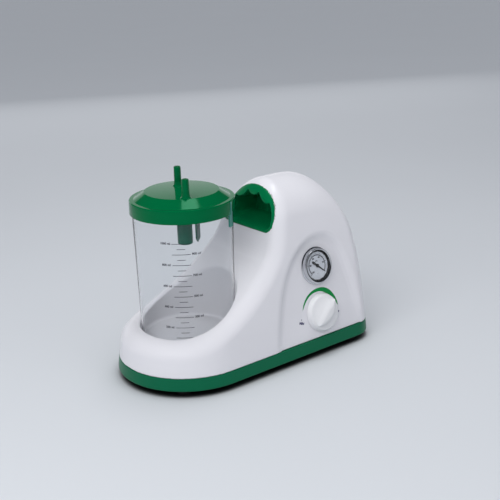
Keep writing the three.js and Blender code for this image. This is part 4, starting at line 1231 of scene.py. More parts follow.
    def holes(self, x: Array, y: Array, z: Array) -> Array:
        """Distance to the openings that gauge, spindle, nozzle and rear fittings pass through.

        Args:
            x: places along the unit from the jar's axis, millimetres.
            y: places across it.
            z: heights above the floor.

        Returns:
            The distances, negative in an opening.
        """
        side, up, out = self.local(self.panel_place(), x, y, z)
        gauge = np.hypot(side - self.gauge[0], up - self.gauge[1]) - self.gauge_hole
        knob = np.hypot(side - self.knob[0], up - self.knob[1]) - self.knob_hole
        front = np.maximum(np.minimum(gauge, knob), np.abs(out) - self.hole_depth)
        side, up, out = self.local(self.rear_place(), x, y, z)
        up = up - self.rear_up
        inlet = rounded_box(side - self.inlet_side, up, *self.inlet_half, self.hole_corner)
        fuse = np.hypot(side - self.fuse_side, up) - self.fuse_hole
        switch = rounded_box(side - self.switch_side, up, *self.switch_half, self.hole_corner)
        rear = np.maximum(np.minimum(np.minimum(inlet, fuse), switch), np.abs(out) - self.hole_depth)
        side, up, out = self.local(self.nozzle_place(), x, y, z)
        nozzle = np.maximum(np.hypot(side, up) - self.nozzle_hole, np.abs(out) - self.hole_depth)
        return np.minimum(np.minimum(front, rear), nozzle)

    def body(self, x: Array, y: Array, z: Array) -> Array:
        """Distance to the cut housing, solid inside.

        Args:
            x: places along the unit from the jar's axis, millimetres.
            y: places across it.
            z: heights above the floor.

        Returns:
            The distances, negative inside.
        """
        solid = carved(self.skin(x, y, z), self.well(x, y, z), self.lip_round)
        side, up, out = self.local(self.panel_place(), x, y, z)
        near = (np.abs(out) < self.panel_reach) & (y < 0) & (side > self.panel_start)
        recess = np.full(np.broadcast(x, y, z).shape, self.far_off)
        sides, ups, outs = (np.broadcast_to(v, recess.shape)[near] for v in (side, up, out))
        recess[near] = self.panel.space(sides, ups, outs)
        solid = carved(solid, recess, self.lip_round)
        side, up, out = self.local(self.rear_place(), x, y, z)
        half_width, half_height = self.rear_width / 2, self.rear_height / 2
        rear = rounded_box(side, up - self.rear_up, half_width, half_height, self.rear_corner)
        return carved(solid, rounded(rear, -out, self.rear_floor_round), self.rear_lip)

    def pierced(self, x: Array, y: Array, z: Array) -> Array:
        """Distance to what is cut through the wall."""
        return np.minimum(self.pocket.outer(x, y, z, self.pocket_gap), self.holes(x, y, z))

    def outside(self, x: Array, y: Array, z: Array) -> Array:
        """Distance to the housing's outside, the openings as pits in it."""
        block = rounded(self.body(x, y, z), self.bottom - self.hem - z, self.hem_round)
        return carved(block, self.pierced(x, y, z), self.opening_round)

    def inside(self, x: Array, y: Array, z: Array) -> Array:
        """Distance to the room inside the wall, negative outside it."""
        return -np.maximum(self.body(x, y, z) + self.wall, self.bottom - self.skirt - z)

    def shell(self) -> Skin:
        """Casts both sides of the wall.

        Returns:
            The two skins as one, open at the foot and at the openings.
        """
        low = (-self.plan.end_radius - 1, -self.plan.end_radius - 1, self.bottom - 6)
        high = (self.plan.rear_reach + 1, self.plan.end_radius + 1, self.ridge + 2)
        outer = trimmed(cast(self.outside, low, high, self.facet), lambda at: self.body(*at.T) > -self.wall)
        inner = trimmed(
            cast(self.inside, low, high, self.inside_facet),
            lambda at: (at[:, 2] > self.bottom - self.hem) & (self.pierced(*at.T) > 0),
        )
        facets = np.concatenate([outer[1], inner[1] + len(outer[0])])
        return np.concatenate([outer[0], inner[0]]), facets, np.concatenate([outer[2], inner[2]])

    def liner(self, x: Array, y: Array, z: Array) -> Array:
        """Distance to the pocket's own moulding.

        Args:
            x: places along the unit from the jar's axis, millimetres.
            y: places across it.
            z: heights above the floor.

        Returns:
            The distances, negative inside.
        """
        form = self.pocket
        block = rounded(form.outer(x, y, z, form.overlap), self.skin(x, y, z) + form.flush, form.lip_round)
        mouth = form.outline(form.lip_side, form.lip_top, form.lip_sill, form.finger_drop)
        inside = outline_distance(y, z, mouth)
        depth = np.clip((x - form.draft_start) / (form.back - form.draft_start), 0, 1)
        room = np.maximum(inside + form.draft * depth, x - form.back + form.wall)
        return carved(block, room, form.mouth_round)

    def build(self) -> Iterator[bpy.types.Object]:
        """Casts the housing and the pocket's moulding.

        Yields:
            Each piece as it is made.
        """
        white = (HOUSING_WHITE, Body.HOUSING, Slot.WHITE)
        yield fit("housing_moulding", self.shell(), self.base, *white, ["housing_shell"])
        form = self.pocket
        low = (form.draft_start - 8, -form.half - 3, form.sill - 3)
        high = (form.back + 3, form.half + 3, form.crown + 3)
        lining = cast(self.liner, low, high, self.pocket_facet)
        green = (POCKET_GREEN, Body.HOUSING, Slot.GREEN)
        yield fit("pocket_moulding", lining, self.base, *green, ["handle_pocket"])


@dataclass
class Tray:
    """The green tray under the housing, with its vents, screw bosses and rubber feet."""

    base: Place
    plan: Footprint = field(default_factory=Footprint)
    top: float = 21.6
    top_round: float = 0.35
    floor: float = 2.6
    wall: float = 4.6
    chamfer: float = 2.2
    vent_x: float = 100.0
    vent_y: float = 16.0
    vent_pitch: float = 8.0
    vent_half: tuple[float, float] = (1.5, 17.0)
    vent_corner: float = 1.4
    vent_top: float = 12.0
    boss_radius: float = 6.4
    boss_top: float = 15.8
    screw_hole: float = 1.8
    facet: float = 1.0
    feet: Sequence[tuple[str, float, float]] = (
        ("front_near", -44.84, -50.19),
        ("front_far", -44.84, 50.19),
        ("rear_near", 188.0, -67.3),
        ("rear_far", 188.0, 67.3),
    )
    foot_profile: Sequence[tuple[float, float, float]] = (
        (3.9, 0, 0), (8.2, 0, 0.8), (9.0, 4.2, 0.6), (8.7, 6.5, 0.3),
        (1.9, 6.5, 0), (1.9, 4.6, 0), (3.9, 4.6, 0), (3.9, 0, 0),
    )

    def distance(self, x: Array, y: Array, z: Array) -> Array:
        """Distance to the tray.

        Args:
            x: places along the unit from the jar's axis, millimetres.
            y: places across it.
            z: heights above the floor.

        Returns:
            The distances, negative inside.
        """
        side = self.plan.side(x, y, z)
        foot = self.plan.foot
        block = rounded(rounded(side, foot - z, self.chamfer), z - self.top, self.top_round)
        room = np.maximum(side + self.wall, foot + self.floor - z)
        for _, cx, cy in self.feet:
            boss = np.maximum(np.hypot(x - cx, y - cy) - self.boss_radius, z - self.boss_top)
            room = np.maximum(room, -boss)
        solid = np.maximum(block, -room)
        for _, cx, cy in self.feet:
            solid = np.maximum(solid, self.screw_hole - np.hypot(x - cx, y - cy))
        for i in range(-2, 3):
            across = x - self.vent_x - i * self.vent_pitch
            slot = rounded_box(across, y - self.vent_y, *self.vent_half, self.vent_corner)
            solid = np.maximum(solid, -np.maximum(slot, z - self.vent_top))
        return solid

    def build(self) -> Iterator[bpy.types.Object]:
        """Casts the tray and turns its feet.

        Yields:
            Each piece as it is made.
        """
        end, reach = self.plan.end_radius + 1, self.plan.rear_reach + 1
        tray = cast(self.distance, (-end, -end, 5), (reach, end, self.top + 1.5), self.facet)
        yield fit("tray_moulding", tray, self.base, TRAY_GREEN, Body.HOUSING, Slot.GREEN, ["base_tray"])
        rubber = (FOOT_RUBBER, Body.HOUSING, Slot.RUBBER)
        for name, x, y in self.feet:
            foot = lathe(filleted(self.foot_profile), 48)
            yield fit(f"rubber_foot_{name}", foot, self.base.moved(x, y), *rubber, [f"foot_{name}"])


@dataclass
class Jar:
    """The clear collection jar and the graduations printed on it."""

    base: Place
    top_radius: float = 55.8
    foot_radius: float = 53.3
    wall: float = 1.3
    foot: float = 39.9
    top: float = 198.4
    foot_round: float = 5.0
    rim_round: float = 0.8
    floor: float = 4.2
    mark_1000: float = 165.9
    mark_step: float = 12.0
    mark_turn: float = math.radians(-128.45)
    mark_lift: float = 0.04
    ink: float = 0.05
    long_line: float = 20.0
    short_line: float = 9.0
    line_height: float = 0.6
    line_flats: int = 8
    number_size: float = 3.5
    number_bold: float = 0.12
    number_up: float = 0.4
    left_number_gap: float = 6.8
    right_number_gap: float = 6.2

    def radius(self, z: float) -> float:
        """The outside radius at a height."""
        share = (z - self.foot - self.foot_round) / (self.top - self.foot - self.foot_round)
        return self.foot_radius + (self.top_radius - self.foot_radius) * share

    def wrap(self, shape: Mesh, along: float, z: float) -> Mesh:
        """Lays a flat print on the jar's wall.

        Args:
            shape: the print, flat.
            along: distance round the wall from the scale's middle, millimetres.
            z: height of the print's middle.

        Returns:
            The print on the wall.
        """
        points = []
        for x, y, lift in np.asarray(shape[0], float):
            radius = self.radius(z + y) + self.mark_lift + lift
            turn = self.mark_turn + (along + x) / radius
            points.append((radius * math.cos(turn), radius * math.sin(turn), z + y))
        return np.array(points), shape[1]

    def line(self, length: float) -> Mesh:
        """A graduation line in short flats that follow the wall.

        Args:
            length: of the line, millimetres.

        Returns:
            Points and facets.
        """
        half, count = self.line_height / 2, self.line_flats
        across = [length * (i / count - 0.5) for i in range(count + 1)]
        points = np.array([(x, y, self.ink) for y in (-half, half) for x in across])
        return points, [(i, i + 1, count + 2 + i, count + 1 + i) for i in range(count)]

    def build(self) -> Iterator[bpy.types.Object]:
        """Turns the jar and prints its scale.

        Yields:
            Each piece as it is made.
        """
        inside = self.foot + self.floor
        corners = [
            (0, self.foot, 0),
            (self.foot_radius, self.foot, self.foot_round),
            (self.top_radius, self.top, self.rim_round),
            (self.top_radius - self.wall, self.top, self.rim_round),
            (self.foot_radius - self.wall, inside, self.foot_round),
            (0, inside, 0),
        ]
        glass = lathe(filleted(corners, 8), 144)
        clear = (JAR_CLEAR, Body.JAR, Slot.CLEAR)
        yield fit("clear_jar", glass, self.base, *clear, ["collection_jar"], casts_shadow=False)
        prints = []
        for i in range(10):
            z = self.mark_1000 - i * self.mark_step
            prints.append(self.wrap(self.line(self.long_line), 0, z))
            if i < 9:
                prints.append(self.wrap(self.line(self.short_line), 0, z - self.mark_step / 2))
                text = lettering(f"{1000 - 100 * i} ml", self.number_size, self.ink, bold=self.number_bold)
                left, right = -self.left_number_gap, self.right_number_gap
                across = self.long_line / 2 + right if i % 2 else -self.long_line / 2 + left
                prints.append(self.wrap(text, across, z + self.number_up))
        yield fit("jar_graduations", gathered(prints), self.base, INK_DARK, Body.JAR)


@dataclass
class Lid:
    """The green press-on lid with two hose ports, its float guide and the float."""

    base: Place
    radius: float = 58.5
    top: float = 202.7
    skirt: float = 15.1
    wall: float = 2.1
    flat: float = 5.4
    rise: float = 7.9
    disc: float = 41.2
    inside: float = 56.3
    port_rise: float = 20.5
    port_radius: float = 4.05
    port_root: float = 5.6
    port_drop: float = 9.0
    bore: float = 2.3
    vacuum_port: tuple[float, float] = (-16.5, -31.6)
    patient_port: tuple[float, float] = (7.9, 18.0)
    patient_extra: float = 1.3
    tab_turn: float = -1.08
    tab_half: float = 3.5
    tab_drop: float = 14.0
    rib_half: float = 1.2
    strip_corner: float = 1.2
    strip_seat: float = 0.2
    baffle_foot: float = 158.0
    baffle_slant: float = 6.0
    baffle_at: tuple[float, float] = (0.7, -26.1)
    baffle_turn: float = 0.8
    baffle_half: float = 12.0
    baffle_slant_end: float = -4.0
    baffle_half_wall: float = 0.8
    guide_offset: tuple[float, float] = (-2.3, 1.9)
    guide_radius: float = 8.1
    guide_wall: float = 1.7
    guide_foot: float = 160.4
    guide_top: float = 205.5
    guide_edge: float = 1.0
    guide_facet: float = 0.6
    mouth: float = 3.4
    window_height: float = 193.5
    window_half: tuple[float, float] = (2.5, 5.5)
    float_radius: float = 5.4
    float_lift: float = 0.3
    float_seam: float = 0.15

    def cover(self) -> Mesh:
        """The lid's own disc, cone, flange and skirt.

        Returns:
            Points and facets.
        """
        under = self.top - self.wall
        corners = [
            (0, under + self.rise, 0),
            (self.disc - 1.0, under + self.rise, 1.0),
            (self.radius - self.flat - 2.1, under, 0.8),
            (self.inside, under, 0.6),
            (self.inside, self.top - self.skirt, 0.3),
            (self.radius, self.top - self.skirt, 0.5),
            (self.radius - 0.4, self.top - 1.0, 0.3),
            (self.radius - 1.2, self.top + 0.1, 0.5),
            (self.radius - self.flat, self.top, 0.7),
            (self.disc, self.top + self.rise, 0.7),
            (0, self.top + self.rise, 0),
        ]
        return lathe(filleted(corners, 4), 144)

    def port(self, extra: float) -> Mesh:
        """A hose port with its flared root, soft tip and bore.

        Args:
            extra: how much taller it is than the lower port, millimetres.

        Returns:
            Points and facets.
        """
        base = self.top + self.rise
        tip = base + self.port_rise + extra
        under = base - self.wall - self.port_drop
        corners = [
            (self.bore, under, 0),
            (self.port_root, under, 0.6),
            (self.port_root, base - 1.2, 0),
            (self.port_radius + 2.2, base - 0.1, 0),
            (self.port_radius + 0.6, base + 1.3, 2.0),
            (self.port_radius, base + 5.0, 1.0),
            (self.port_radius - 0.15, tip, 1.3),
            (self.bore, tip, 0.4),
            (self.bore, under, 0),
        ]
        return lathe(filleted(corners, 6), 40)

    def strip(self, half_width: float, low: float, high: float, outer: float) -> Mesh:
        """A rounded strip that stands on the skirt at the tab.

        Args:
            half_width: half its width, millimetres.
            low: height of its foot.
            high: height of its top.
            outer: the radius that its face reaches.

        Returns:
            Points and facets.
        """
        turn, corner = Matrix.Rotation(self.tab_turn, 3, "Z"), self.strip_corner
        outline = []
        for cx, cz, start in (
            (half_width, low, -90),
            (half_width, high, 0),
            (-half_width, high, 90),
            (-half_width, low, 180),
        ):
            sx, sz = (-1 if cx > 0 else 1) * corner, (1 if cz == low else -1) * corner
            for step in range(5):
                angle = math.radians(start + 22.5 * step)
                outline.append((cx + sx + corner * math.cos(angle), cz + sz + corner * math.sin(angle)))
        radii = (self.inside + self.strip_seat, outer)
        return between(*([tuple(turn @ Vector((r, y, z))) for y, z in outline] for r in radii))

    def baffle(self) -> Mesh:
        """The splash baffle under the lid, its foot cut at a slant.

        Returns:
            Points and facets.
        """
        high, low, half = self.top + self.rise - self.wall + 0.3, self.baffle_foot, self.baffle_half
        slant = [(-half, low + self.baffle_slant), (self.baffle_slant_end, low)]
        outline = [*slant, (half, low), (half, high), (-half, high)]
        turn, at = Matrix.Rotation(self.baffle_turn, 3, "Z"), Vector((*self.baffle_at, 0))
        wall = self.baffle_half_wall
        faces = ([tuple(turn @ Vector((x, side, z)) + at) for x, z in outline] for side in (wall, -wall))
        return between(*faces)

    def guide(self, x: Array, y: Array, z: Array) -> Array:
        """Distance to the float's guide tube with its mouth and windows.

        Args:
            x: places along the unit from the guide's axis, millimetres.
            y: places across it.
            z: heights above the floor.

        Returns:
            The distances, negative inside.
        """
        radius = np.hypot(x, y)
        tube = rounded(radius - self.guide_radius, self.guide_foot - z, self.guide_edge)
        tube = np.maximum(tube, z - self.guide_top)
        room = np.maximum(radius - self.guide_radius + self.guide_wall, self.guide_foot + self.guide_wall - z)
        half_width, half_height = self.window_half
        high = np.abs(z - self.window_height) - half_height
        along, across = np.abs(x) - half_width, np.abs(y) - half_width
        windows = np.minimum(np.maximum(along, high), np.maximum(across, high))
        return np.maximum(np.maximum(tube, -room), -np.minimum(radius - self.mouth, windows))

    def bead(self) -> Mesh:
        """The float: a ball with the faint seam of its two halves.

        Returns:
            Points and facets.
        """
        centre = self.guide_foot + self.guide_wall + self.float_lift + self.float_radius
        line = []
        for i in range(25):
            turn = math.pi * (i / 24 - 0.5)
            seam = self.float_seam * math.exp(-((i - 12) ** 2) / 2)
            radius = self.float_radius - self.float_seam + seam
            line.append((max(radius * math.cos(turn), 0), centre + self.float_radius * math.sin(turn)))
        line[0], line[-1] = (0, line[0][1]), (0, line[-1][1])
        return lathe(line, 48)

    def build(self) -> Iterator[bpy.types.Object]:
        """Makes the lid, the guide and the float.

        Yields:
            Each piece as it is made.
        """
        heights = ((self.vacuum_port, 0.0), (self.patient_port, self.patient_extra))
        ports = [shifted(self.port(extra), (x, y, 0)) for (x, y), extra in heights]
        green = (Body.LID, Slot.GREEN)
        yield fit("lid_moulding", gathered([self.cover(), *ports]), self.base, LID_GREEN, *green, ["jar_lid"])
        yield fit("lid_baffle", self.baffle(), self.base, GUIDE_GREEN, *green)
        low = self.top - self.skirt
        # The tab and the rib take the paler green, which paints the rib's highlight and the light through the
        # tab
        tab = self.strip(self.tab_half, low - self.tab_drop, low + 3, self.radius - 0.1)
        rib = self.strip(self.rib_half, low - 0.5, self.top - 1.2, self.radius + 0.35)
        yield fit("lid_tab", gathered([tab, rib]), self.base, TAB_AND_RIB_PAINTED_LIGHT_GREEN, *green)
        place = self.base.moved(*(a + b for a, b in zip(self.vacuum_port, self.guide_offset)))
        reach = self.guide_radius + 0.8
        space = ((-reach, -reach, self.guide_foot - 1), (reach, reach, self.guide_top + 1))
        guide = cast(self.guide, *space, self.guide_facet)
        yield fit("float_guide", guide, place, GUIDE_GREEN, *green, ["float_cage"])
        yield fit("float_bead", self.bead(), place, KNOB_WHITE, Body.FLOAT, Slot.WHITE, ["float_ball"])


@dataclass
class Gauge:
    """The vacuum gauge: chrome ring, window, printed dial and pointer."""

    place: Place
    radius: float = 22.2
    case_radius: float = 18.6
    height: float = 6.0
    seat: float = 0.3
    opening: float = 18.2
    ledge: float = 4.9
    window_radius: float = 17.4
    window_low: float = 4.3
    window_high: float = 5.1
    window_crown: float = 0.05
    card_radius: float = 17.6
    card_hole: float = 1.0
    card_back: float = -0.5
    shadow_ring_top: float = 5.5
    shadow_ring_drop: float = 0.9
    shadow_ring_width: float = 0.7
    dial_height: float = 2.4
    ink: float = 0.06
    arc_radius: float = 12.3
    arc_width: float = 0.9
    long_tick: tuple[float, float] = (2.4, 0.5)
    middle_tick: tuple[float, float] = (1.8, 0.26)
    short_tick: tuple[float, float] = (1.3, 0.26)
    number_radius: float = 9.9
    number_size: float = 2.8
    rest: float = -0.7
    sweep: float = math.radians(262)

    def ring(self) -> Mesh:
        """The bezel: a thin flange, a round ring and a bevel down to the window.

        Returns:
            Points and facets.
        """
        corners = [
            (self.case_radius, self.seat, 0),
            (self.radius, self.seat, 0.2),
            (self.radius, 1.0, 0.5),
            (self.radius - 1.3, 1.5, 0.4),
            (self.radius - 1.5, 4.4, 1.0),
            (self.radius - 2.0, self.height, 1.2),
            (self.opening + 0.8, self.height, 1.2),
            (self.opening, self.height - 1.0, 0.3),
            (self.opening, self.ledge, 0),
            (self.case_radius, self.ledge, 0),
            (self.case_radius, self.seat, 0),
        ]
        return lathe(filleted(corners, 6), 120)

    def shadow_ring(self) -> Mesh:
        """A black ring between dial and window, a painted shadow: it stands for the shade in the gap under
        the bezel.

        Returns:
            Points and facets.
        """
        inner, outer = self.opening - self.shadow_ring_width, self.opening
        low, high = self.dial_height - self.shadow_ring_drop, self.shadow_ring_top
        corners = [(outer, low, 0), (outer, high, 0.2), (inner, high, 0.3), (inner, low, 0), (outer, low, 0)]
        return lathe(filleted(corners), 96)

    def arc(self, start: float, end: float) -> Mesh:
        """The scale's printed arc.

        Args:
            start: its first angle, radians.
            end: its last, anticlockwise.

        Returns:
            Points and facets.
        """
        steps, face = 64, self.dial_height + self.ink
        points = []
        for i in range(steps + 1):
            turn = start + (end - start) * i / steps
            for r in (self.arc_radius - self.arc_width / 2, self.arc_radius + self.arc_width / 2):
                points.append((r * math.cos(turn), r * math.sin(turn), face))
        return np.array(points), [(2 * i, 2 * i + 1, 2 * i + 3, 2 * i + 2) for i in range(steps)]

    def tick(self, turn: float, length: float, width: float) -> Mesh:
        """A printed mark from the arc outward.

        Args:
            turn: its angle, radians.
            length: how far it reaches, millimetres.
            width: how wide it is.

        Returns:
            Points and facets.
        """
        inner, outer, face = self.arc_radius, self.arc_radius + length, self.dial_height + self.ink
        along = (math.cos(turn), math.sin(turn))
        across = (-math.sin(turn) * width / 2, math.cos(turn) * width / 2)
        corners = [(inner, -1), (outer, -1), (outer, 1), (inner, 1)]
        points = [(r * along[0] + s * across[0], r * along[1] + s * across[1], face) for r, s in corners]
        return np.array(points), [(0, 1, 2, 3)]

    def scale(self) -> Mesh:
        """The dial's arc, marks and numbers, from zero at the lower right round to the full vacuum.

        Returns:
            Points and facets.
        """
        face = self.dial_height + self.ink
        parts = [self.arc(self.rest, self.rest + self.sweep)]
        for i in range(51):
            turn = self.rest + self.sweep * i / 50
            size = self.short_tick if i % 5 else self.middle_tick if i % 10 else self.long_tick
            parts.append(self.tick(turn, *size))
            if i % 10 == 0:
                text = lettering(str(i * 2), self.number_size, face, bold=0.12)
                at = (self.number_radius * math.cos(turn), self.number_radius * math.sin(turn), 0)
                parts.append(shifted(text, at))
        parts.append(shifted(lettering("kPa", 2.4, face, bold=0.06), (0, 5.4, 0)))
        parts.append(shifted(lettering("x -1", 1.7, face), (0, -9.2, 0)))
        return gathered(parts)

    def pointer(self) -> Mesh:
        """The needle: a slim arm, a broad tail, a hub and its staff.

        Returns:
            Points and facets.
        """
        outline = [(-8.8, 0), (-8.2, -1.4), (-6.0, -1.6), (-1.6, -1.0), (0, -0.95), (13.4, -0.4)]
        outline += [(x, -y) for x, y in reversed(outline[1:])]
        hub = [(0, -8.5, 0), (0.6, -8.5, 0), (0.6, 0.2, 0), (2.1, 0.2, 0), (2.1, 1.5, 0.5), (0, 1.7, 0)]
        return gathered([plate(outline, 0.35, 0.5), lathe(filleted(hub), 32)])

    def build(self) -> Iterator[bpy.types.Object]:
        """Makes the gauge's visible pieces.

        Yields:
            Each piece as it is made.
        """
        chrome = (BEZEL_CHROME, Body.HOUSING, Slot.CHROME)
        yield fit("gauge_ring", self.ring(), self.place, *chrome, ["gauge_bezel"], crease=30)
        # Painted shadow: the black ring darkens the gap between bezel and window, where shade falls
        yield fit("gauge_painted_shadow_ring", self.shadow_ring(), self.place, FITTING_AND_SHADOW_BLACK, Body.HOUSING, Slot.BLACK)
        edge, low, high = self.window_radius, self.window_low, self.window_high
        corners = [(0, low, 0), (edge, low, 0.2), (edge, high, 0.2), (0, high + self.window_crown, 0)]
        window = lathe(filleted(corners), 96)
        clear = (WINDOW_CLEAR, Body.HOUSING, Slot.CLEAR)
        yield fit("gauge_window", window, self.place, *clear, ["gauge_lens"], casts_shadow=False)
        hole, edge, back, face = self.card_hole, self.card_radius, self.card_back, self.dial_height
        card = lathe([(hole, back), (edge, back), (edge, face), (hole, face), (hole, back)], 96)
        yield fit("gauge_card", card, self.place, DIAL_PAINT, Body.HOUSING, Slot.DIAL, ["gauge_dial"])
        yield fit("gauge_scale", self.scale(), self.place, INK_DARK, Body.HOUSING)
        place = self.place.moved(0, 0, self.dial_height, self.rest)
        black = (FITTING_AND_SHADOW_BLACK, Body.NEEDLE, Slot.BLACK)
        yield fit("gauge_pointer", self.pointer(), place, *black, ["gauge_needle"])


@dataclass
class Knob:
    """The regulator knob: a skirt, a face that sweeps up to a long grip, and a hollow back."""

    place: Place
    radius: float = 23.0
    skirt: float = 6.5
    draft: float = 2.2
    edge_round: float = 1.8
    back_round: float = 0.5
    crest: float = 13.6
    crest_sag: float = 2.4
    crest_reach: float = 21.0
    crest_round: float = 2.2
    far_half: float = 3.4
    far_sweep: float = 14.0
    far_power: float = 1.7
    near_half: float = 7.6
    near_sweep: float = 3.0
    grip_length: float = 42.0
    grip_gap: float = 0.8
    grip_taper: float = 1.8
    grip_root: float = 2.0
    leaf_slope: float = 0.6
    fillet: float = 1.2
    hollow: tuple[float, float] = (13.0, 3.2)
    bore: tuple[float, float] = (3.3, 9.3)
    lift: float = 0.3
    turn: float = 0.7
    facet: float = 0.6

    def distance(self, x: Array, y: Array, z: Array) -> Array:
        """Distance to the knob.

        Args:
            x: places along the grip from the knob's axis, millimetres.
            y: places across the grip.
            z: heights above the knob's back.

        Returns:
            The distances, negative inside.
        """
        reach = np.hypot(x, y)
        wall = reach - self.radius + self.draft * np.clip(z / self.skirt, 0, 1)
        base = rounded(rounded(wall, z - self.skirt, self.edge_round), -z, self.back_round)
        rise = np.clip((z - self.skirt) / (self.crest - self.skirt), 0, 1)
        far = self.far_half + self.far_sweep * (1 - rise) ** self.far_power
        half_width = np.where(y > 0, far, self.near_half + self.near_sweep * (1 - rise))
        half_length = self.grip_length / 2 - self.grip_gap - self.grip_taper * rise
        arc = (half_length**2 + half_width**2) / (2 * half_width)
        leaf = np.hypot(x, np.abs(y) + arc - half_width) - arc
        top = z - self.crest + self.crest_sag * (x / self.crest_reach) ** 2
        grip = np.maximum(rounded(leaf * self.leaf_slope, top, self.crest_round), self.grip_root - z)
        knob = blended(base, grip, self.fillet)
        pits = [np.maximum(reach - radius, z - depth) for radius, depth in (self.hollow, self.bore)]
        return np.maximum(knob, -np.minimum(*pits))

    def build(self) -> Iterator[bpy.types.Object]:
        """Casts the knob.

        Yields:
            The piece.
        """
        place = self.place.moved(0, 0, self.lift, self.turn)
        reach = self.radius + 1
        knob = cast(self.distance, (-reach, -reach, -1), (reach, reach, self.crest + 1), self.facet)
        yield fit("knob_moulding", knob, place, KNOB_WHITE, Body.KNOB, Slot.WHITE, ["regulator_knob"])


@dataclass
class PanelPrint:
    """The ink on the control panel: a green crescent over the knob, and the marks at its ends."""

    place: Place
    crescent_out: Profile = (
        (110.7, 36.2), (114.1, 44.0), (121.4, 51.8), (132.6, 56.6), (145.5, 56.5),
        (155.0, 51.9), (161.3, 44.4), (165.0, 36.4), (165.9, 29.5),
    )
    crescent_in: Profile = (
        (111.9, 37.7), (118.3, 45.7), (126.5, 51.4), (135.7, 53.1),
        (144.5, 51.6), (153.6, 44.9), (160.0, 38.2), (164.1, 31.8),
    )
    crescent_steps: int = 60
    ink: float = 0.08
    ink_back: float = 0.03
    word_at: tuple[float, float] = (106.7, 22.6)
    word_size: float = 3.9
    word_turn: float = -0.35
    word_bold: float = 0.2
    dots: Sequence[tuple[float, float, float]] = ((107.2, 26.9, 0.6), (165.3, 22.1, 1.0))

    def smooth(self, points: Profile) -> list[tuple[float, float]]:
        """Draws a curve through points.

        Args:
            points: what it passes through.

        Returns:
            Its own points, in short steps.
        """
        ends = [points[0], *points, points[-1]]
        line = []
        for a, b, c, d in zip(ends, ends[1:], ends[2:], ends[3:]):
            slope, bend, twist = (
                [c[k] - a[k] for k in (0, 1)],
                [2 * a[k] - 5 * b[k] + 4 * c[k] - d[k] for k in (0, 1)],
                [3 * b[k] - a[k] - 3 * c[k] + d[k] for k in (0, 1)],
            )
            for t in (i / 6 for i in range(6)):
                terms = zip(b, slope, bend, twist)
                line.append(tuple(0.5 * (2 * p + s * t + q * t * t + w * t**3) for p, s, q, w in terms))
        return [*line, points[-1]]

    def crescent(self) -> Mesh:
        """The crescent between its two edges.

        Returns:
            Points and facets.
        """
        count = self.crescent_steps
        rows = []
        for line in (np.array(self.smooth(edge)) for edge in (self.crescent_out, self.crescent_in)):
            steps = np.concatenate([[0], np.cumsum(np.linalg.norm(np.diff(line, axis=0), axis=1))])
            at = np.linspace(0, steps[-1], count)
            rows.append(np.stack([np.interp(at, steps, line[:, k]) for k in (0, 1)], 1))
        points = np.array([(x, y, self.ink) for row in rows for x, y in row])
        return points, [(i, count + i, count + i + 1, i + 1) for i in range(count - 1)]

    def build(self) -> Iterator[bpy.types.Object]:
        """Prints the crescent and the marks.

        Yields:
            Each piece as it is made.
        """
        yield fit("panel_crescent", self.crescent(), self.place, INK_GREEN, Body.HOUSING)
        word = lettering("MIN", self.word_size, self.ink, self.word_turn, bold=self.word_bold)
        marks = [shifted(word, (*self.word_at, 0))]
        for x, y, r in self.dots:
            dot = lathe([(0, self.ink_back), (r, self.ink_back), (r, self.ink), (0, self.ink)], 16)
            marks.append(shifted(dot, (x, y, 0)))
        yield fit("panel_marks", gathered(marks), self.place, INK_BLUE, Body.HOUSING)


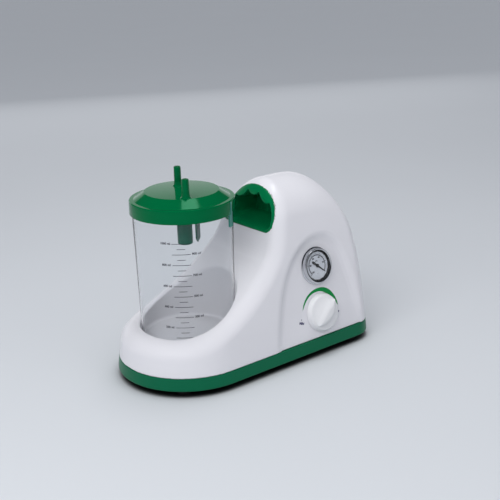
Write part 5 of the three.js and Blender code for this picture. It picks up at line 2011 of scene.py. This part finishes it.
@dataclass
class RearFittings:
    """What the rear recess carries: fuse holder, switch marks, and the nozzle on the far wall."""

    housing: Housing
    socket: Sequence[tuple[float, float, float]] = (
        (3.4, -24, 0), (0, -24, 0), (0, -26, 0), (6.0, -26, 0.5), (6.0, 0.3, 0),
        (8.4, 0.3, 0), (8.4, 2.0, 0.4), (3.4, 2.0, 0), (3.4, -24, 0),
    )
    cap: Sequence[tuple[float, float, float]] = (
        (0, -6.4, 0), (3.1, -6.4, 0.3), (3.1, 2.3, 0), (6.6, 2.3, 0.2),
        (6.6, 6.0, 0.7), (5.2, 6.3, 0.2), (0, 6.3, 0),
    )
    spigot: Sequence[tuple[float, float, float]] = (
        (1.2, -16, 0), (2.6, -16, 0.3), (2.6, 0.3, 0), (8.0, 0.3, 0), (8.0, 2.0, 0.5), (3.4, 2.0, 0.8),
        (2.4, 5.0, 0.3), (2.9, 5.4, 0.1), (2.4, 8.4, 0.2), (2.9, 8.8, 0.1), (2.4, 11.8, 0.2),
        (2.9, 12.2, 0.1), (2.1, 15.0, 0.3), (1.2, 15.0, 0), (1.2, -16, 0),
    )
    groove_half: tuple[float, float] = (4.6, 0.5)
    groove_height: float = 6.28
    rocker_depth: float = -2.0
    rocker_tilt: float = 0.17
    mark_up: float = 4.2
    mark_out: float = 3.8
    on_half: tuple[float, float] = (0.35, 1.7)
    off_radii: tuple[float, float] = (1.3, 1.9)
    ink: float = 0.03

    def bar(self, half: tuple[float, float], height: float, thickness: float) -> Mesh:
        """A printed bar about the origin, half its sides given."""
        x, y = half
        return plate([(-x, -y), (x, -y), (x, y), (-x, y)], height, thickness)

    def build(self) -> Iterator[bpy.types.Object]:
        """Makes the round fittings and the rocker's marks.

        Yields:
            Each piece as it is made.
        """
        rear, up = self.housing.rear_place(), self.housing.rear_up
        fuse = rear.moved(self.housing.fuse_side, up)
        socket = lathe(filleted(self.socket), 48)
        yield fit("fuse_socket", socket, fuse, FITTING_AND_SHADOW_BLACK, Body.HOUSING, Slot.BLACK, ["fuse_holder"])
        cap = lathe(filleted(self.cap), 48)
        yield fit("fuse_knob", cap, fuse, FITTING_AND_SHADOW_BLACK, Body.FUSE, Slot.BLACK, ["fuse_cap"])
        groove = self.bar(self.groove_half, self.groove_height, 0.05)
        yield fit("fuse_groove", groove, fuse, INK_WHITE, Body.FUSE)
        tilt, low, high = self.rocker_tilt, self.ink, 2 * self.ink
        pivot = rear.moved(self.housing.switch_side, up, self.rocker_depth).tilted(tilt)
        on = self.bar(self.on_half, low, self.ink)
        above = pivot.moved(0, self.mark_up, self.mark_out).tilted(tilt)
        yield fit("rocker_on_mark", on, above, INK_WHITE, Body.ROCKER)
        inner, outer = self.off_radii
        off = lathe([(outer, low), (outer, high), (inner, high), (inner, low), (outer, low)], 32)
        below = pivot.moved(0, -self.mark_up, self.mark_out).tilted(-tilt)
        yield fit("rocker_off_mark", off, below, INK_WHITE, Body.ROCKER)
        spigot, nozzle = lathe(filleted(self.spigot), 48), self.housing.nozzle_place()
        yield fit("vacuum_spigot", spigot, nozzle, TRAY_GREEN, Body.HOUSING, Slot.GREEN, ["vacuum_nozzle"])


# The studio


@dataclass(frozen=True)
class Softbox:
    """A lamp: its place and size in millimetres, its power in watts, and whether gloss shows it."""

    name: str
    spot: tuple[float, float, float]
    size: tuple[float, float]
    power: float
    shines: bool


@dataclass
class Studio:
    """Pale floor, soft lamps and the camera of the picture."""

    base: Place
    floor_colour: str = "#D5D8DC"
    floor_half: float = 20.0
    eye: tuple[float, float, float] = (-564.767, -828.885, 472.886)
    right: tuple[float, float, float] = (0.776998, -0.628824, -0.029233)
    up: tuple[float, float, float] = (0.220337, 0.22817, 0.948362)
    forward: tuple[float, float, float] = (0.589683, 0.743316, -0.315841)
    focal_pixels: float = 945.85
    picture_pixels: float = 500.0
    shift_pixels: float = -1.0
    sensor: float = 36.0
    aim: tuple[float, float, float] = (60, 0, 100)
    lamps: Sequence[Softbox] = (
        Softbox("key_softbox", (-950, -430, 1000), (1100, 1000), 9.7, False),
        Softbox("fill_softbox", (300, -1150, 1000), (900, 600), 2.0, False),
        Softbox("top_softbox", (235, 90, 1500), (290, 640), 3.2, True),
        Softbox("back_softbox", (900, 1700, 560), (2600, 700), 3.0, True),
    )
    walls: tuple[float, str] = (0.3, "#46484C")
    ceiling: tuple[float, str] = (0.66, "#E2E5EB")
    mirrored_low: tuple[float, str] = (0.06, "#C9CCD2")
    mirrored_high: tuple[float, str] = (0.31, "#34373C")
    backdrop: str = "#CED1D6"
    strength: float = 0.86

    def camera(self) -> None:
        """Sets the camera where the picture was taken from."""
        data = bpy.data.cameras.new("studio_camera")
        data.sensor_width = self.sensor
        data.lens = self.focal_pixels / self.picture_pixels * self.sensor
        data.shift_y = self.shift_pixels / self.picture_pixels
        data.clip_start, data.clip_end = 0.05, 100
        made = bpy.data.objects.new("studio_camera", data)
        axes = Matrix((self.right, self.up, tuple(-v for v in self.forward))).transposed().to_4x4()
        made.matrix_world = Matrix.Translation(self.base.origin + Vector(self.eye) * MM) @ axes
        bpy.context.scene.collection.objects.link(made)
        bpy.context.scene.camera = made

    def light(self) -> None:
        """Hangs the softboxes, all turned to the unit."""
        aim = self.base.origin + Vector(self.aim) * MM
        for lamp in self.lamps:
            data = bpy.data.lights.new(lamp.name, "AREA")
            data.shape = "RECTANGLE"
            data.size, data.size_y = (side * MM for side in lamp.size)
            data.energy = lamp.power
            made = bpy.data.objects.new(lamp.name, data)
            made.visible_glossy = lamp.shines
            made.visible_transmission = False
            made.location = self.base.origin + Vector(lamp.spot) * MM
            made.rotation_mode = "QUATERNION"
            made.rotation_quaternion = (aim - made.location).to_track_quat("-Z", "Y")
            bpy.context.scene.collection.objects.link(made)

    def world(self) -> None:
        """Lights the room as a bright ceiling over dim walls does, which keeps the tray's gap dim; the
        floor's painted shadow darkens it further.
        """
        world = bpy.data.worlds.new("studio_room")
        world.use_nodes = True
        tree = world.node_tree
        background = tree.nodes["Background"]
        place = add_node(tree, "ShaderNodeTexCoord")
        split = add_node(tree, "ShaderNodeSeparateXYZ", sockets={"Vector": place.outputs["Generated"]})
        room = add_node(tree, "ShaderNodeValToRGB", sockets={"Fac": split.outputs["Z"]})
        set_stops(room, self.walls, self.ceiling)
        mirrored = add_node(tree, "ShaderNodeValToRGB", sockets={"Fac": split.outputs["Z"]})
        set_stops(mirrored, self.mirrored_low, self.mirrored_high)
        path = add_node(tree, "ShaderNodeLightPath")
        colours = {0: path.outputs["Is Glossy Ray"], 6: room.outputs["Color"], 7: mirrored.outputs["Color"]}
        seen = add_node(tree, "ShaderNodeMix", {"data_type": "RGBA"}, colours)
        rays = {0: path.outputs["Is Camera Ray"], 1: path.outputs["Is Transmission Ray"]}
        direct = add_node(tree, "ShaderNodeMath", {"operation": "MAXIMUM"}, rays)
        colours = {0: direct.outputs[0], 6: seen.outputs[2], 7: linear(self.backdrop)}
        mix = add_node(tree, "ShaderNodeMix", {"data_type": "RGBA"}, colours)
        tree.links.new(mix.outputs[2], background.inputs["Color"])
        background.inputs["Strength"].default_value = self.strength
        bpy.context.scene.world = world

    def floor(self) -> None:
        """Lays the floor."""
        half = self.floor_half
        mesh = bpy.data.meshes.new("studio_floor")
        corners = [(-half, -half, 0), (half, -half, 0), (half, half, 0), (-half, half, 0)]
        mesh.from_pydata(corners, [], [(0, 1, 2, 3)])
        # The paper carries a painted contact shadow under the unit
        paper = StudioPaper("floor_paper_painted_shadow", self.floor_colour, 0.85, 1.4)
        mesh.materials.append(paper.make())
        made = bpy.data.objects.new("studio_floor", mesh)
        bpy.context.scene.collection.objects.link(made)

    def build(self) -> None:
        """Sets up the whole studio."""
        self.floor()
        self.world()
        self.light()
        self.camera()
        bpy.context.scene.view_settings.view_transform = "Standard"


def dress_carried_nodes() -> None:
    """Gives each CAD node that shows as it is the finish of its material slot."""
    slots = {row["node"]: row["material_slot"] for row in frame["record"]["subparts"]}
    for name, node in frame["nodes"].items():
        material = SLOT_FINISHES[slots[name]].make()
        node.data.materials.clear()
        node.data.materials.append(material)
        LOG.info("%s: carried over in %s", name, material.name)


def main() -> None:
    """Builds the unit's sub-assemblies and the studio round them."""
    logging.basicConfig(level=logging.INFO, format="%(name)s %(message)s")
    base = jar_place()
    Studio(base).build()
    dress_carried_nodes()
    housing = Housing(base)
    panel = housing.panel_place()
    assemblies = [
        housing,
        Tray(base),
        Jar(base),
        Lid(base),
        Gauge(panel.moved(*housing.gauge)),
        Knob(panel.moved(*housing.knob)),
        PanelPrint(panel),
        RearFittings(housing),
    ]
    for assembly in assemblies:
        for made in assembly.build():
            LOG.info("placed %s", made.name)


if __name__ == "__main__":
    main()
